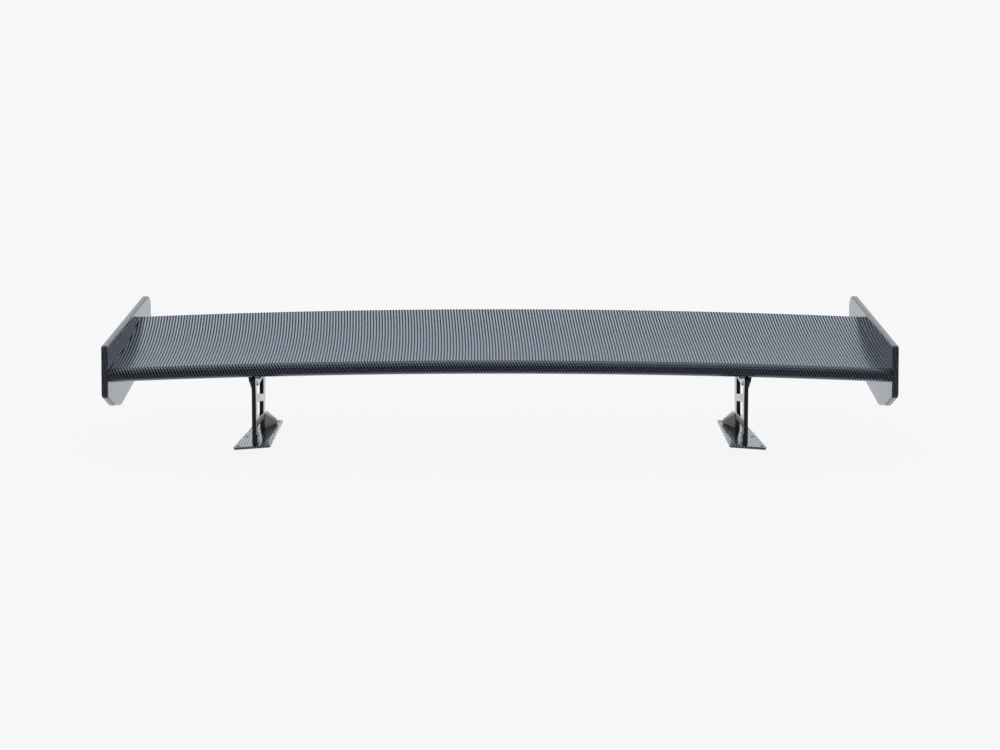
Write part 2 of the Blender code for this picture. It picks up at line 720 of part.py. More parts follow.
def add_bolt_set(prefix, place, side, word, parent):
    """Bolt from the inner side, with a washer under its head and one under its nut."""
    origin = (0, *place)
    across = (side, 0, 0)
    washer_in = UPRIGHT_X[0] - GAP - WASHER_THICKNESS
    washer_out = BRACKET_LUG_X[1] + GAP
    seat = washer_in - GAP
    nut = washer_out + WASHER_THICKNESS + GAP
    tip = nut + NUT_HEIGHT + BOLT_END
    bolt = bmesh.new()
    profile = [
        (0, seat - HEAD_HEIGHT),
        (HEX_RADIUS, seat - HEAD_HEIGHT, "hex"),
        (HEX_RADIUS, seat, "hex"),
        (BOLT_RADIUS, seat),
        (BOLT_RADIUS, tip),
        (0, tip),
    ]
    turned(bolt, profile, origin, across)
    add_object(f"{prefix}_bolt_{word}", bolt, "zinc_steel", parent)
    hole = BOLT_RADIUS + GAP
    for place, start in (("inner", washer_in), ("outer", washer_out)):
        washer = bmesh.new()
        turned(washer, ring_profile(hole, WASHER_RADIUS, start, WASHER_THICKNESS), origin, across)
        add_object(f"{prefix}_washer_{place}_{word}", washer, "zinc_steel", parent)
    nut_bm = bmesh.new()
    turned(nut_bm, ring_profile(hole, HEX_RADIUS, nut, NUT_HEIGHT, "hex"), origin, across)
    add_object(f"{prefix}_nut_{word}", nut_bm, "zinc_steel", parent)


def add_pivot_bush(side, word):
    """Plain bush that the pivot bolt turns in."""
    bm = bmesh.new()
    length = UPRIGHT_X[1] - UPRIGHT_X[0]
    profile = ring_profile(BOLT_RADIUS + GAP, BUSH_RADIUS, UPRIGHT_X[0], length)
    turned(bm, profile, (0, *PIVOT), (side, 0, 0))
    add_object("pivot_bush_" + word, bm, "yellow_brass")


def build():
    """Clears the scene and models every piece."""
    for obj in list(bpy.data.objects):
        bpy.data.objects.remove(obj, do_unlink=True)
    tilt_axis = bpy.data.objects.new("tilt_axis", None)
    tilt_axis.location = (0, *PIVOT)
    bpy.context.scene.collection.objects.link(tilt_axis)
    lines = section_lines()
    add_skins(lines, tilt_axis)
    add_spars(lines, tilt_axis)
    for side, word in ((1, "left"), (-1, "right")):
        add_end_rib(lines, side, word, tilt_axis)
        add_hard_point(lines, side, word, tilt_axis)
        add_bracket(lines, side, word, tilt_axis)
        add_end_plate(lines, side, word, tilt_axis)
        add_bolt_set("adjuster", ADJUSTER, side, word, tilt_axis)
        add_upright(side, word)
        add_gusset(side, word)
        add_base_plate(side, word)
        add_pivot_bush(side, word)
        add_bolt_set("pivot", PIVOT, side, word, None)


build()
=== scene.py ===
# Racing rear wing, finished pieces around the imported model.
# Metres. The blade's nose is at -Y, its tail at +Y, +Z is up, the car's left is +X.
import json
import math

import bmesh
import bpy
from mathutils import Matrix, Vector


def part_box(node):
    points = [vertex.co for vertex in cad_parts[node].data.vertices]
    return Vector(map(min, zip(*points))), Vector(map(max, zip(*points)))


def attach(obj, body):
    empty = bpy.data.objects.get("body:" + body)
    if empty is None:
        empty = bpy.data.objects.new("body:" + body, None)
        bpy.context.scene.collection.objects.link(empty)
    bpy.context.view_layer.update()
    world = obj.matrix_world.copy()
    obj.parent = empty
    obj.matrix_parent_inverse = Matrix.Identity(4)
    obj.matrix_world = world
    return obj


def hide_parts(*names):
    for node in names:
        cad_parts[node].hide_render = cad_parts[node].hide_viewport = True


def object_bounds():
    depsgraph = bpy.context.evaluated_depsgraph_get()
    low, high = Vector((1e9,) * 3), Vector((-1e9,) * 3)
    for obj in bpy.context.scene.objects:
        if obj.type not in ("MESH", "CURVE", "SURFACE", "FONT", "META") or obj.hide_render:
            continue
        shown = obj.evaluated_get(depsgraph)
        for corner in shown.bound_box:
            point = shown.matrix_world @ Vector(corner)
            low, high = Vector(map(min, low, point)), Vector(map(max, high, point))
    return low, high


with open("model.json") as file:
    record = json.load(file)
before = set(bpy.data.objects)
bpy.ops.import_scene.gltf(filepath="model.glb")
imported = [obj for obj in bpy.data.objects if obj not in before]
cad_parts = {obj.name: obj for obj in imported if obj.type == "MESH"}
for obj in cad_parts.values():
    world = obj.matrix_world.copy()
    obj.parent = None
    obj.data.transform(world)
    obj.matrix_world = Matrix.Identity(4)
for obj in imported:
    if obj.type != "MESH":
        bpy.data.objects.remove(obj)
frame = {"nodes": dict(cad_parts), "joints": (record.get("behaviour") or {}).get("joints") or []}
cadLow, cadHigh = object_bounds()
tilt = frame["joints"][0]
pivotY, pivotZ = tilt["pos_m"][1:]
sides = (("left", 1), ("right", -1))
gap = 0.0003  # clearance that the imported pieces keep
boxTolerance = 0.001  # larger differences are printed
sharpEdge = 32  # degrees from which an edge is shaded sharp
facets = {  # round a turned shape
    "drilled": 28,
    "sunk": 32,
    "fastener": 36,
}
print("frame loaded:", len(frame["nodes"]), "pieces")


studio = {
    "cameraPlace": (0.0, -2.721, 0.828),
    "cameraPitch": 15,  # degrees below level
    "lens": 54,
    "behind": 1.16,  # glow of the studio behind the wing
    "ahead": 0.20,  # glow on the camera's side
    "under": 0.85,  # share of it from below
    "overhead": 0.95,  # share of it from high up
    "turnAlong": (-0.22, 0.36),  # along Y, between ahead and behind
    "overheadAlong": (0.05, 0.60),  # along Z, up to overhead
    "underAlong": (-0.95, -0.60),  # along Z, up from under
    "tint": (0.97, 0.985, 1.0),
    "floorTone": 0.06,  # how much it takes light and shadow
    "floorGlow": 0.895,
    "floorSize": 160,
    "floorRoughness": 0.9,
    "backdropRadius": 48.0,
    "backdropFoot": -1.0,  # its lower rim, under the floor
    "backdropSteps": 64,
    "softboxPower": 7,
    "softboxSize": (3.2, 1.2),
    "softboxPlace": (0.0, -1.6, 2.6),
    "softboxTilt": 32,  # degrees
}


def show(piece):
    bpy.context.scene.collection.objects.link(piece)


def meshObject(name, bm):
    mesh = bpy.data.meshes.new(name)
    bm.to_mesh(mesh)
    bm.free()
    piece = bpy.data.objects.new(name, mesh)
    show(piece)
    return piece


def setInput(node, name, value):
    node.inputs[name].default_value = value


def plainNode(tree, kind, **settings):
    made = tree.nodes.new("ShaderNode" + kind)
    for key, value in settings.items():
        setattr(made, key, value)
    return made


def feed(tree, socket, value):
    # a number goes on the socket, anything else is linked to it
    if isinstance(value, bpy.types.NodeSocket):
        tree.links.new(value, socket)
    else:
        socket.default_value = value


def calc(tree, operation, *values, clamp=False):
    made = plainNode(tree, "Math", operation=operation, use_clamp=clamp)
    for socket, value in zip(made.inputs, values):
        feed(tree, socket, value)
    return made.outputs[0]


def times(tree, a, b):
    return calc(tree, "MULTIPLY", a, b)


def plus(tree, a, b):
    return calc(tree, "ADD", a, b)


def minus(tree, a, b):
    return calc(tree, "SUBTRACT", a, b)


def remap(tree, value, fromLow, fromHigh, toLow, toHigh, kind="LINEAR"):
    made = plainNode(tree, "MapRange", interpolation_type=kind)
    for socket, given in zip(made.inputs, (value, fromLow, fromHigh, toLow, toHigh)):
        feed(tree, socket, given)
    return made.outputs[0]


def blendColours(tree, share, first, second):
    made = plainNode(tree, "Mix", data_type="RGBA")
    feed(tree, made.inputs[0], share)
    feed(tree, made.inputs[6], first)
    feed(tree, made.inputs[7], second)
    return made.outputs[2]


def makeCamera():
    data = bpy.data.cameras.new("camera")
    data.lens = studio["lens"]
    data.clip_end = studio["floorSize"]
    camera = bpy.data.objects.new("camera", data)
    camera.location = studio["cameraPlace"]
    camera.rotation_euler = (math.radians(90 - studio["cameraPitch"]), 0, 0)
    show(camera)
    bpy.context.scene.camera = camera


def makeStudioLight():
    # a soft room: bright behind and above the wing, dim ahead of it and below
    world = bpy.data.worlds.new("studio")
    world.use_nodes = True
    tree = world.node_tree
    tree.nodes.clear()
    coords = plainNode(tree, "TexCoord")
    split = plainNode(tree, "SeparateXYZ")
    tree.links.new(coords.outputs["Generated"], split.inputs[0])
    depth, height = split.outputs["Y"], split.outputs["Z"]
    level = remap(tree, depth, *studio["turnAlong"], studio["ahead"], studio["behind"], "SMOOTHSTEP")
    fade = remap(tree, height, *studio["overheadAlong"], 1.0, studio["overhead"], "SMOOTHSTEP")
    drop = remap(tree, height, *studio["underAlong"], studio["under"], 1.0, "SMOOTHSTEP")
    level = times(tree, level, times(tree, fade, drop))
    background = plainNode(tree, "Background")
    setInput(background, "Color", (*studio["tint"], 1.0))
    tree.links.new(level, background.inputs["Strength"])
    output = plainNode(tree, "OutputWorld")
    tree.links.new(background.outputs[0], output.inputs["Surface"])
    bpy.context.scene.world = world

    data = bpy.data.lights.new("softbox", "AREA")
    data.shape = "RECTANGLE"
    data.size, data.size_y = studio["softboxSize"]
    data.energy = studio["softboxPower"]
    softbox = bpy.data.objects.new("softbox", data)
    softbox.location = studio["softboxPlace"]
    softbox.rotation_euler = (math.radians(studio["softboxTilt"]), 0, 0)
    softbox.visible_camera = False
    show(softbox)


def makeFloor():
    # a pale floor with a round backdrop of the same tone
    bm = bmesh.new()
    half = studio["floorSize"] / 2
    bm.faces.new([bm.verts.new((x * half, y * half, 0)) for x, y in ((-1, -1), (1, -1), (1, 1), (-1, 1))])
    floor = meshObject("floor", bm)
    floor.location.z = cadLow.z - gap
    bm = bmesh.new()
    radius = studio["backdropRadius"]
    steps = studio["backdropSteps"]
    turns = [2 * math.pi * k / steps for k in range(steps)]
    rings = []
    for height in (studio["backdropFoot"], radius):
        rings.append([bm.verts.new((radius * math.cos(a), radius * math.sin(a), height)) for a in turns])
    for k in range(steps):
        nextK = (k + 1) % steps
        bm.faces.new((rings[0][k], rings[0][nextK], rings[1][nextK], rings[1][k]))
    wall = meshObject("backdrop", bm)
    wall.visible_diffuse = False  # closes the horizon, but lets the studio's light in
    wall.visible_shadow = False
    material = bpy.data.materials.new("pale floor")
    material.use_nodes = True
    tree = material.node_tree
    shader = tree.nodes["Principled BSDF"]
    setInput(shader, "Base Color", (*[studio["floorTone"]] * 3, 1))
    setInput(shader, "Roughness", studio["floorRoughness"])
    setInput(shader, "Specular IOR Level", 0.0)
    setInput(shader, "Emission Color", (1.0, 1.0, 1.0, 1))
    setInput(shader, "Emission Strength", studio["floorGlow"])
    for stagePiece in (floor, wall):
        stagePiece.visible_glossy = False  # gloss shows the even studio instead
        stagePiece.data.materials.append(material)


makeCamera()
makeStudioLight()
makeFloor()
bpy.context.scene.view_settings.view_transform = "Standard"
print("studio set up")


def shaderFor(name):
    material = bpy.data.materials.new(name)
    material.use_nodes = True
    tree = material.node_tree
    return material, tree, tree.nodes["Principled BSDF"]


def pieceCoords(tree):
    coords = plainNode(tree, "TexCoord")
    split = plainNode(tree, "SeparateXYZ")
    tree.links.new(coords.outputs["Object"], split.inputs[0])
    return coords.outputs["Object"], split


def noiseAt(tree, vector, scale, detail=3.0, roughness=0.5):
    noise = plainNode(tree, "TexNoise")
    tree.links.new(vector, noise.inputs["Vector"])
    setInput(noise, "Scale", scale)
    setInput(noise, "Detail", detail)
    setInput(noise, "Roughness", roughness)
    return noise.outputs["Fac"]


def joinXyz(tree, x, y, z=0.0):
    made = plainNode(tree, "CombineXYZ")
    for socket, value in zip(made.inputs, (x, y, z)):
        feed(tree, socket, value)
    return made.outputs[0]


def bumpOn(tree, shader, height, strength, distance, socket="Normal"):
    bump = plainNode(tree, "Bump")
    setInput(bump, "Strength", strength)
    setInput(bump, "Distance", distance)
    tree.links.new(height, bump.inputs["Height"])
    tree.links.new(bump.outputs[0], shader.inputs[socket])


cloth = {
    "crownPower": 3.0,  # how square a tow's section is
    "risePower": 0.5,  # how steeply a tow comes up from under its neighbours
    "dip": 0.35,  # its height there, as a share of the full height
    "streaksAcross": 11.0,  # fibre streaks in the width of a tow
    "streaksAlong": 0.5,
    "bumpDepth": 0.0002,
    "peelScale": 260.0,  # fine ripple of the clear coat
    "peelStrength": 0.06,
    "peelDepth": 0.0004,
}


def twillPattern(tree, u, v, tow, lean):
    # 2x2 twill laid on the bias: which tow is on top, its crown, and fibre streaks along it
    turn = math.radians(45 + lean)
    perU, perV = math.cos(turn) / tow, math.sin(turn) / tow
    across = plus(tree, times(tree, u, perU), times(tree, v, perV))
    along = minus(tree, times(tree, v, perU), times(tree, u, perV))
    warpIndex = calc(tree, "FLOOR", across)
    weftIndex = calc(tree, "FLOOR", along)
    warpShare = calc(tree, "FRACT", across)
    weftShare = calc(tree, "FRACT", along)
    step = calc(tree, "FLOORED_MODULO", minus(tree, warpIndex, weftIndex), 4.0)
    warpOnTop = calc(tree, "LESS_THAN", step, 1.5)
    weftOnTop = minus(tree, 1.0, warpOnTop)

    def crown(share):
        middle = calc(tree, "ABSOLUTE", minus(tree, share, 0.5))
        return minus(tree, 1.0, calc(tree, "POWER", times(tree, middle, 2.0), cloth["crownPower"]))

    warpRun = times(tree, plus(tree, minus(tree, 1.0, step), weftShare), 0.5)
    weftRun = times(tree, plus(tree, minus(tree, step, 2.0), warpShare), 0.5)

    def tow3d(share, run):
        wave = calc(tree, "SINE", times(tree, run, math.pi), clamp=True)
        rise = calc(tree, "POWER", wave, cloth["risePower"])
        lifted = plus(tree, cloth["dip"], times(tree, rise, 1 - cloth["dip"]))
        return times(tree, crown(share), lifted)

    def choose(warpValue, weftValue):
        fromWarp = times(tree, warpOnTop, warpValue)
        return plus(tree, fromWarp, times(tree, weftOnTop, weftValue))

    def streaks(acrossScale, alongScale, index):
        sideways = times(tree, across, acrossScale)
        place = joinXyz(tree, sideways, times(tree, along, alongScale), index)
        return noiseAt(tree, place, 1.0, 2.0, 0.6)

    height = choose(tow3d(warpShare, warpRun), tow3d(weftShare, weftRun))
    fine, long = cloth["streaksAcross"], cloth["streaksAlong"]
    fibre = choose(streaks(fine, long, warpIndex), streaks(long, fine, weftIndex))
    return warpOnTop, height, fibre


def carbonTwill(name, look):
    # glossy clear coat over twill; look gives the tows' tones and size and how the ribs run. The light tows'
    # bright tone is painted sheen in place of their reflection.
    material, tree, shader = shaderFor(name)
    uv = plainNode(tree, "UVMap", uv_map="weave")
    split = plainNode(tree, "SeparateXYZ")
    tree.links.new(uv.outputs[0], split.inputs[0])
    u, v = split.outputs["X"], split.outputs["Y"]
    wander = minus(tree, noiseAt(tree, uv.outputs[0], look["driftScale"], 1.0), 0.5)
    spread = plus(tree, 1.0, times(tree, v, look["fan"]))
    bent = times(tree, times(tree, v, v), look["bow"])
    shifted = plus(tree, calc(tree, "DIVIDE", u, spread), bent)
    shifted = plus(tree, shifted, times(tree, wander, look["drift"]))
    warpOnTop, height, fibre = twillPattern(tree, shifted, v, look["tow"], look["lean"])
    streaked = remap(tree, fibre, 0.25, 0.75, 0.72, 1.15)
    shade = times(tree, streaked, remap(tree, height, 0.0, 0.8, look["seam"], 1.0))
    # painted sheen: the light tows' colour stands in for the reflection off their fibres
    tone = blendColours(tree, warpOnTop, (*look["dark"], 1), (*look["light"], 1))
    made = plainNode(tree, "VectorMath", operation="SCALE")
    tree.links.new(tone, made.inputs[0])
    tree.links.new(shade, made.inputs["Scale"])
    tree.links.new(made.outputs[0], shader.inputs["Base Color"])
    byTow = remap(tree, warpOnTop, 0.0, 1.0, look["darkRoughness"], look["lightRoughness"])
    rough = plus(tree, remap(tree, fibre, 0.3, 0.7, -0.05, 0.06), byTow)
    tree.links.new(rough, shader.inputs["Roughness"])
    setInput(shader, "Metallic", look["metallic"])
    setInput(shader, "Specular Tint", (*look["grazing"], 1))
    setInput(shader, "Coat Weight", look["coat"])
    setInput(shader, "Coat Roughness", look["coatRoughness"])
    setInput(shader, "Coat IOR", 1.5)
    bumpOn(tree, shader, height, look["bump"], cloth["bumpDepth"])
    peel = noiseAt(tree, uv.outputs[0], cloth["peelScale"], 2.0)
    bumpOn(tree, shader, peel, cloth["peelStrength"], cloth["peelDepth"], "Coat Normal")
    return material


bladeWeave = {
    # painted sheen: the bright tone of the tows that catch the light stands in for their reflection; the
    # dark tone is the fibre's own
    "light": (0.48, 0.545, 0.62),
    "dark": (0.020, 0.024, 0.031),
    "tow": 0.00191,  # width of one tow; on the bias a rib repeats every 5.4 mm
    "lean": 0,  # degrees between the ribs and the chord
    "bow": 0.165,  # how the ribs bend sideways towards the tail, per metre
    "fan": 0.06,  # how they spread towards the tail, per metre
    "seam": 0.45,  # shade between neighbouring tows
    "metallic": 0.85,
    "grazing": (0.46, 0.49, 0.54),  # what is left of the shine at a flat angle
    "lightRoughness": 0.17,
    "darkRoughness": 0.24,
    "coat": 0.18,
    "coatRoughness": 0.02,
    "bump": 0.30,
    "drift": 0.0035,  # how far the cloth wanders, metres
    "driftScale": 3.0,
}
straight = {"bow": 0.0, "fan": 0.0}
# painted shade: a darker copy of the twill for the lower skin, which lies in shade; its finer tows and their
# lean are its own
shadedNoseWeave = {**bladeWeave, **straight, "tow": 0.0017, "lean": -25, "light": (0.21, 0.24, 0.29),
             "dark": (0.008, 0.010, 0.014), "coat": 0.10}
# the end plates' and base plates' light tows carry painted sheen too, each at its own strength
plateWeave = {**bladeWeave, **straight, "lean": 8, "light": (0.14, 0.15, 0.17), "dark": (0.04, 0.045, 0.055),
              "coat": 1.0, "drift": 0.001}
baseWeave = {**bladeWeave, **straight, "lean": 2, "light": (0.54, 0.60, 0.64), "dark": (0.05, 0.06, 0.075),
             "coat": 0.8, "drift": 0.0005}

blackCoat = {
    "colour": (0.008, 0.009, 0.011),
    "worn": (0.060, 0.062, 0.066),  # where handling has thinned the coating on the edges
    "roughness": 0.16,
    "coat": 0.35,
}
gussetCoat = {**blackCoat, "colour": (0.30, 0.29, 0.25), "worn": (0.36, 0.35, 0.31), "roughness": 0.34}


def coatedMetal(name, look):
    material, tree, shader = shaderFor(name)
    place, _ = pieceCoords(tree)
    geometry = plainNode(tree, "NewGeometry")
    grimeScale, smudgeScale, grainScale = 130.0, 28.0, 900.0
    grime = noiseAt(tree, place, grimeScale, 4.0, 0.6)
    edge = remap(tree, geometry.outputs["Pointiness"], 0.53, 0.62, 0.0, 1.0)
    worn = times(tree, edge, remap(tree, grime, 0.45, 0.65, 0.0, 0.8))
    colour = blendColours(tree, worn, (*look["colour"], 1), (*look["worn"], 1))
    tree.links.new(colour, shader.inputs["Base Color"])
    smudge = noiseAt(tree, place, smudgeScale, 3.0)
    smooth, dull = look["roughness"] - 0.04, look["roughness"] + 0.08
    rough = plus(tree, remap(tree, smudge, 0.3, 0.7, smooth, dull), times(tree, worn, 0.2))
    tree.links.new(rough, shader.inputs["Roughness"])
    setInput(shader, "Coat Weight", look["coat"])
    setInput(shader, "Coat Roughness", 0.06)
    bumpOn(tree, shader, noiseAt(tree, place, grainScale, 2.0), 0.10, 0.0002)
    return material


def platedSteel(name, bright, dull, roughness, metallic=1.0):
    # plated or blackened fastener: cloudy plating, turned marks, and painted shade that darkens the recesses
    material, tree, shader = shaderFor(name)
    place, _ = pieceCoords(tree)
    cloudScale, grainScale = 420.0, 2600.0
    cloud = noiseAt(tree, place, cloudScale, 4.0, 0.65)
    geometry = plainNode(tree, "NewGeometry")
    # painted shade: concave spots (socket, thread roots, under the head) take the dull colour
    recessShade = remap(tree, geometry.outputs["Pointiness"], 0.42, 0.50, 1.0, 0.0)
    share = calc(tree, "MAXIMUM", remap(tree, cloud, 0.35, 0.70, 0.0, 1.0), recessShade)
    tree.links.new(blendColours(tree, share, (*bright, 1), (*dull, 1)), shader.inputs["Base Color"])
    smooth, rough = roughness - 0.06, roughness + 0.10
    tree.links.new(remap(tree, cloud, 0.3, 0.7, smooth, rough), shader.inputs["Roughness"])
    setInput(shader, "Metallic", metallic)
    bumpOn(tree, shader, noiseAt(tree, place, grainScale, 2.0), 0.12, 0.0001)
    return material


def machined(name, colour, roughness, stretch):
    # milled or turned metal: fine parallel tool marks
    material, tree, shader = shaderFor(name)
    place, _ = pieceCoords(tree)
    mapping = plainNode(tree, "Mapping")
    tree.links.new(place, mapping.inputs["Vector"])
    setInput(mapping, "Scale", stretch)
    markScale, markShade = 60.0, 0.72
    marks = noiseAt(tree, mapping.outputs[0], markScale, 5.0, 0.7)
    darker = tuple(markShade * part for part in colour)
    tone = blendColours(tree, remap(tree, marks, 0.3, 0.7, 0.0, 1.0), (*colour, 1), (*darker, 1))
    tree.links.new(tone, shader.inputs["Base Color"])
    smooth, rough = roughness - 0.08, roughness + 0.12
    tree.links.new(remap(tree, marks, 0.3, 0.7, smooth, rough), shader.inputs["Roughness"])
    setInput(shader, "Metallic", 1.0)
    bumpOn(tree, shader, marks, 0.25, 0.0002)
    return material


def rawLaminate(name):
    # laminate as it leaves the mould inside: matt, with the peel ply's fine square grain
    material, tree, shader = shaderFor(name)
    place, split = pieceCoords(tree)
    _, height, fibre = twillPattern(tree, split.outputs["X"], split.outputs["Y"], bladeWeave["tow"], 0.0)
    share = remap(tree, fibre, 0.3, 0.7, 0.0, 1.0)
    colour = blendColours(tree, share, (0.022, 0.022, 0.025, 1), (0.055, 0.055, 0.06, 1))
    tree.links.new(colour, shader.inputs["Base Color"])
    tree.links.new(remap(tree, noiseAt(tree, place, 90.0), 0.3, 0.7, 0.48, 0.66), shader.inputs["Roughness"])
    bumpOn(tree, shader, height, 0.4, 0.0003)
    return material


finishes = {
    "bladeTop": carbonTwill("blade twill", bladeWeave),
    # painted shade: darker twill for the lower skin
    "bladeNose": carbonTwill("nose twill", shadedNoseWeave),
    "endPlate": carbonTwill("end plate twill", plateWeave),
    "basePlate": carbonTwill("base plate twill", baseWeave),
    "black": coatedMetal("gloss black coating", blackCoat),
    "gusset": coatedMetal("satin black coating", gussetCoat),
    "zinc": platedSteel("zinc plating", (0.60, 0.62, 0.65), (0.36, 0.37, 0.38), 0.26),
    "blackSteel": platedSteel("black oxide", (0.035, 0.035, 0.037), (0.018, 0.018, 0.018), 0.34, 0.7),
    "aluminium": machined("milled aluminium", (0.66, 0.67, 0.69), 0.30, (0.3, 9.0, 2.0)),
    "brass": machined("turned brass", (0.66, 0.48, 0.20), 0.26, (12.0, 1.0, 1.0)),
    "laminate": rawLaminate("inner laminate"),
}
print("finishes made:", len(finishes))


def bezier(start, startHandle, endHandle, end, steps):
    # handles are offsets from the ends
    p0, p3 = Vector(start), Vector(end)
    p1, p2 = p0 + Vector(startHandle), p3 + Vector(endHandle)
    points = []
    for step in range(steps + 1):
        t = step / steps
        u = 1 - t
        points.append(p0 * u**3 + p1 * 3 * u * u * t + p2 * 3 * u * t * t + p3 * t**3)
    return points


def roundCorners(corners, steps=10):
    # (a, b, radius) corners become arcs
    outline = []
    count = len(corners)
    for k, (a, b, radius) in enumerate(corners):
        here = Vector((a, b))
        if radius == 0:
            outline.append(here)
            continue
        back = (Vector(corners[k - 1][:2]) - here).normalized()
        ahead = (Vector(corners[(k + 1) % count][:2]) - here).normalized()
        half = back.angle(ahead) / 2
        centre = here + (back + ahead).normalized() * (radius / math.sin(half))
        first = here + back * (radius / math.tan(half)) - centre
        last = here + ahead * (radius / math.tan(half)) - centre
        turn = first.angle_signed(last)
        for step in range(steps + 1):
            outline.append(centre + Matrix.Rotation(-turn * step / steps, 2) @ first)
    return outline


def ringOutline(centre, radius, steps=40):
    angles = [2 * math.pi * k / steps for k in range(steps)]
    return [Vector((centre[0] + radius * math.cos(a), centre[1] + radius * math.sin(a))) for a in angles]


def addPiece(name, bm, sharpAngle=sharpEdge):
    bmesh.ops.recalc_face_normals(bm, faces=bm.faces)
    piece = meshObject(name, bm)
    piece.data.shade_smooth()
    piece.data.set_sharp_from_angle(angle=math.radians(sharpAngle))
    return piece


def sharpen(piece):
    piece.data.set_sharp_from_angle(angle=math.radians(sharpEdge))


def bakeModifiers(piece):
    view = bpy.context.evaluated_depsgraph_get()
    ready = piece.evaluated_get(view)
    mesh = bpy.data.meshes.new_from_object(ready, preserve_all_data_layers=True, depsgraph=view)
    piece.modifiers.clear()
    piece.data = mesh


def combine(piece, bm, operation):
    # joins the shape on or cuts it out, and keeps the result
    tool = addPiece(piece.name + ".tool", bm)
    boolean = piece.modifiers.new("combine", "BOOLEAN")
    boolean.operation = operation
    boolean.solver = "EXACT"
    boolean.object = tool
    bakeModifiers(piece)
    bpy.data.objects.remove(tool, do_unlink=True)


def plateMesh(name, outlines, thickness, edge, edgeSteps=3):
    # flat plate with rounded rims on its outline and in its holes, in its own XY plane
    curve = bpy.data.curves.new(name, "CURVE")
    curve.dimensions = "2D"
    curve.fill_mode = "BOTH"
    for outline in outlines:
        spline = curve.splines.new("POLY")
        spline.points.add(len(outline) - 1)
        spline.use_cyclic_u = True
        for point, place in zip(spline.points, outline):
            point.co = (place[0], place[1], 0, 1)
    curve.extrude = thickness / 2 - edge
    curve.bevel_depth = edge
    curve.bevel_resolution = edgeSteps
    curve.offset = -edge
    shape = bpy.data.objects.new(name + ".curve", curve)
    show(shape)
    view = bpy.context.evaluated_depsgraph_get()
    bm = bmesh.new()
    source = bpy.data.meshes.new_from_object(shape.evaluated_get(view), depsgraph=view)
    bm.from_mesh(source)
    bpy.data.objects.remove(shape, do_unlink=True)
    bpy.data.meshes.remove(source)
    bmesh.ops.remove_doubles(bm, verts=bm.verts, dist=1e-6)
    return bm


def standUp(bm, x0, x1):
    # a plate drawn in (Y, Z) goes upright between two X values
    middle = (x0 + x1) / 2
    for vertex in bm.verts:
        across, up, out = vertex.co
        vertex.co = (middle + out, across, up)


def boxWeave(piece):
    # weave coordinates in metres, from the axis each face looks along
    layer = piece.data.uv_layers.get("weave") or piece.data.uv_layers.new(name="weave")
    for face in piece.data.polygons:
        normal = [abs(part) for part in face.normal]
        if normal[0] >= max(normal[1:]):
            pair = (1, 2)
        elif normal[2] >= normal[1]:
            pair = (0, 1)
        else:
            pair = (0, 2)
        for loop in face.loop_indices:
            place = piece.data.vertices[piece.data.loops[loop].vertex_index].co
            layer.data[loop].uv = (place[pair[0]], place[pair[1]])


def fit(piece, body, node, finish):
    # rides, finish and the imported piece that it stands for
    piece.data.materials.clear()
    piece.data.materials.append(finishes[finish])
    shading = piece.modifiers.new("even shading", "WEIGHTED_NORMAL")
    shading.keep_sharp = True
    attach(piece, body)
    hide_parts(node)
    low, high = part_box(node)
    worst = 0.0
    for k in range(3):
        values = [vertex.co[k] for vertex in piece.data.vertices]
        worst = max(worst, abs(min(values) - low[k]), abs(max(values) - high[k]))
    if worst > boxTolerance:
        print("   ", node, "box differs by", round(worst * 1000, 2), "mm")


def middleYz(low, high):
    return (low.y + high.y) / 2, (low.z + high.z) / 2


def mirroredPair(node):
    # inner and outer distance from the middle of the car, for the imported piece
    low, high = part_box(node)
    return tuple(sorted((abs(low.x), abs(high.x))))


skinLow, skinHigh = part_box("blade_lower_skin")
blade = {
    "halfSpan": skinHigh.x,
    "rise": 0.015,  # arch at mid span
    "noseTop": (pivotY - 0.075, pivotZ + 0.0335),
    "noseFront": (pivotY - 0.089, pivotZ + 0.0215),
    "belly": (pivotY - 0.032, pivotZ + 0.004),
    "tail": (skinHigh.y, pivotZ + 0.0715),
    "tailThickness": 0.002,
    "frontSlope": 0.06,
    "skin": 0.0015,
    "tailEdge": 0.00025,  # rounding of the trailing edge
    # offsets of the curve handles from the ends of the nose, the chin and the belly
    "noseHandles": ((-0.009, -0.0005), (0.0, 0.007)),
    "chinHandles": ((0.0, -0.0115), (-0.034, 0.0)),
    "bellyHandles": ((0.070, 0.0), (-0.052, -0.030)),
    "noseSteps": 12,
    "chinSteps": 24,
    "bellySteps": 44,
    "spanSteps": 72,
    "chordSteps": 56,
}


def archRise(x):
    return blade["rise"] * (1 - (x / blade["halfSpan"]) ** 2)


def upperHeight(y):
    chord = blade["tail"][0] - blade["noseTop"][0]
    t = (y - blade["noseTop"][0]) / chord
    curl = (blade["tail"][1] - blade["noseTop"][1]) / chord - blade["frontSlope"]
    return blade["noseTop"][1] + chord * (blade["frontSlope"] * t + curl * t**3)


def lineHeight(line, y):
    for a, b in zip(line, line[1:]):
        if a.x <= y <= b.x:
            return a.y + (b.y - a.y) * (y - a.x) / (b.x - a.x)
    raise ValueError("outside the line")


def offsetLine(line, thickness, towards):
    moved = []
    for k, point in enumerate(line):
        along = (line[min(k + 1, len(line) - 1)] - line[max(k - 1, 0)]).normalized()
        moved.append(point + Vector((-along.y, along.x)) * towards * thickness(point))
    return moved


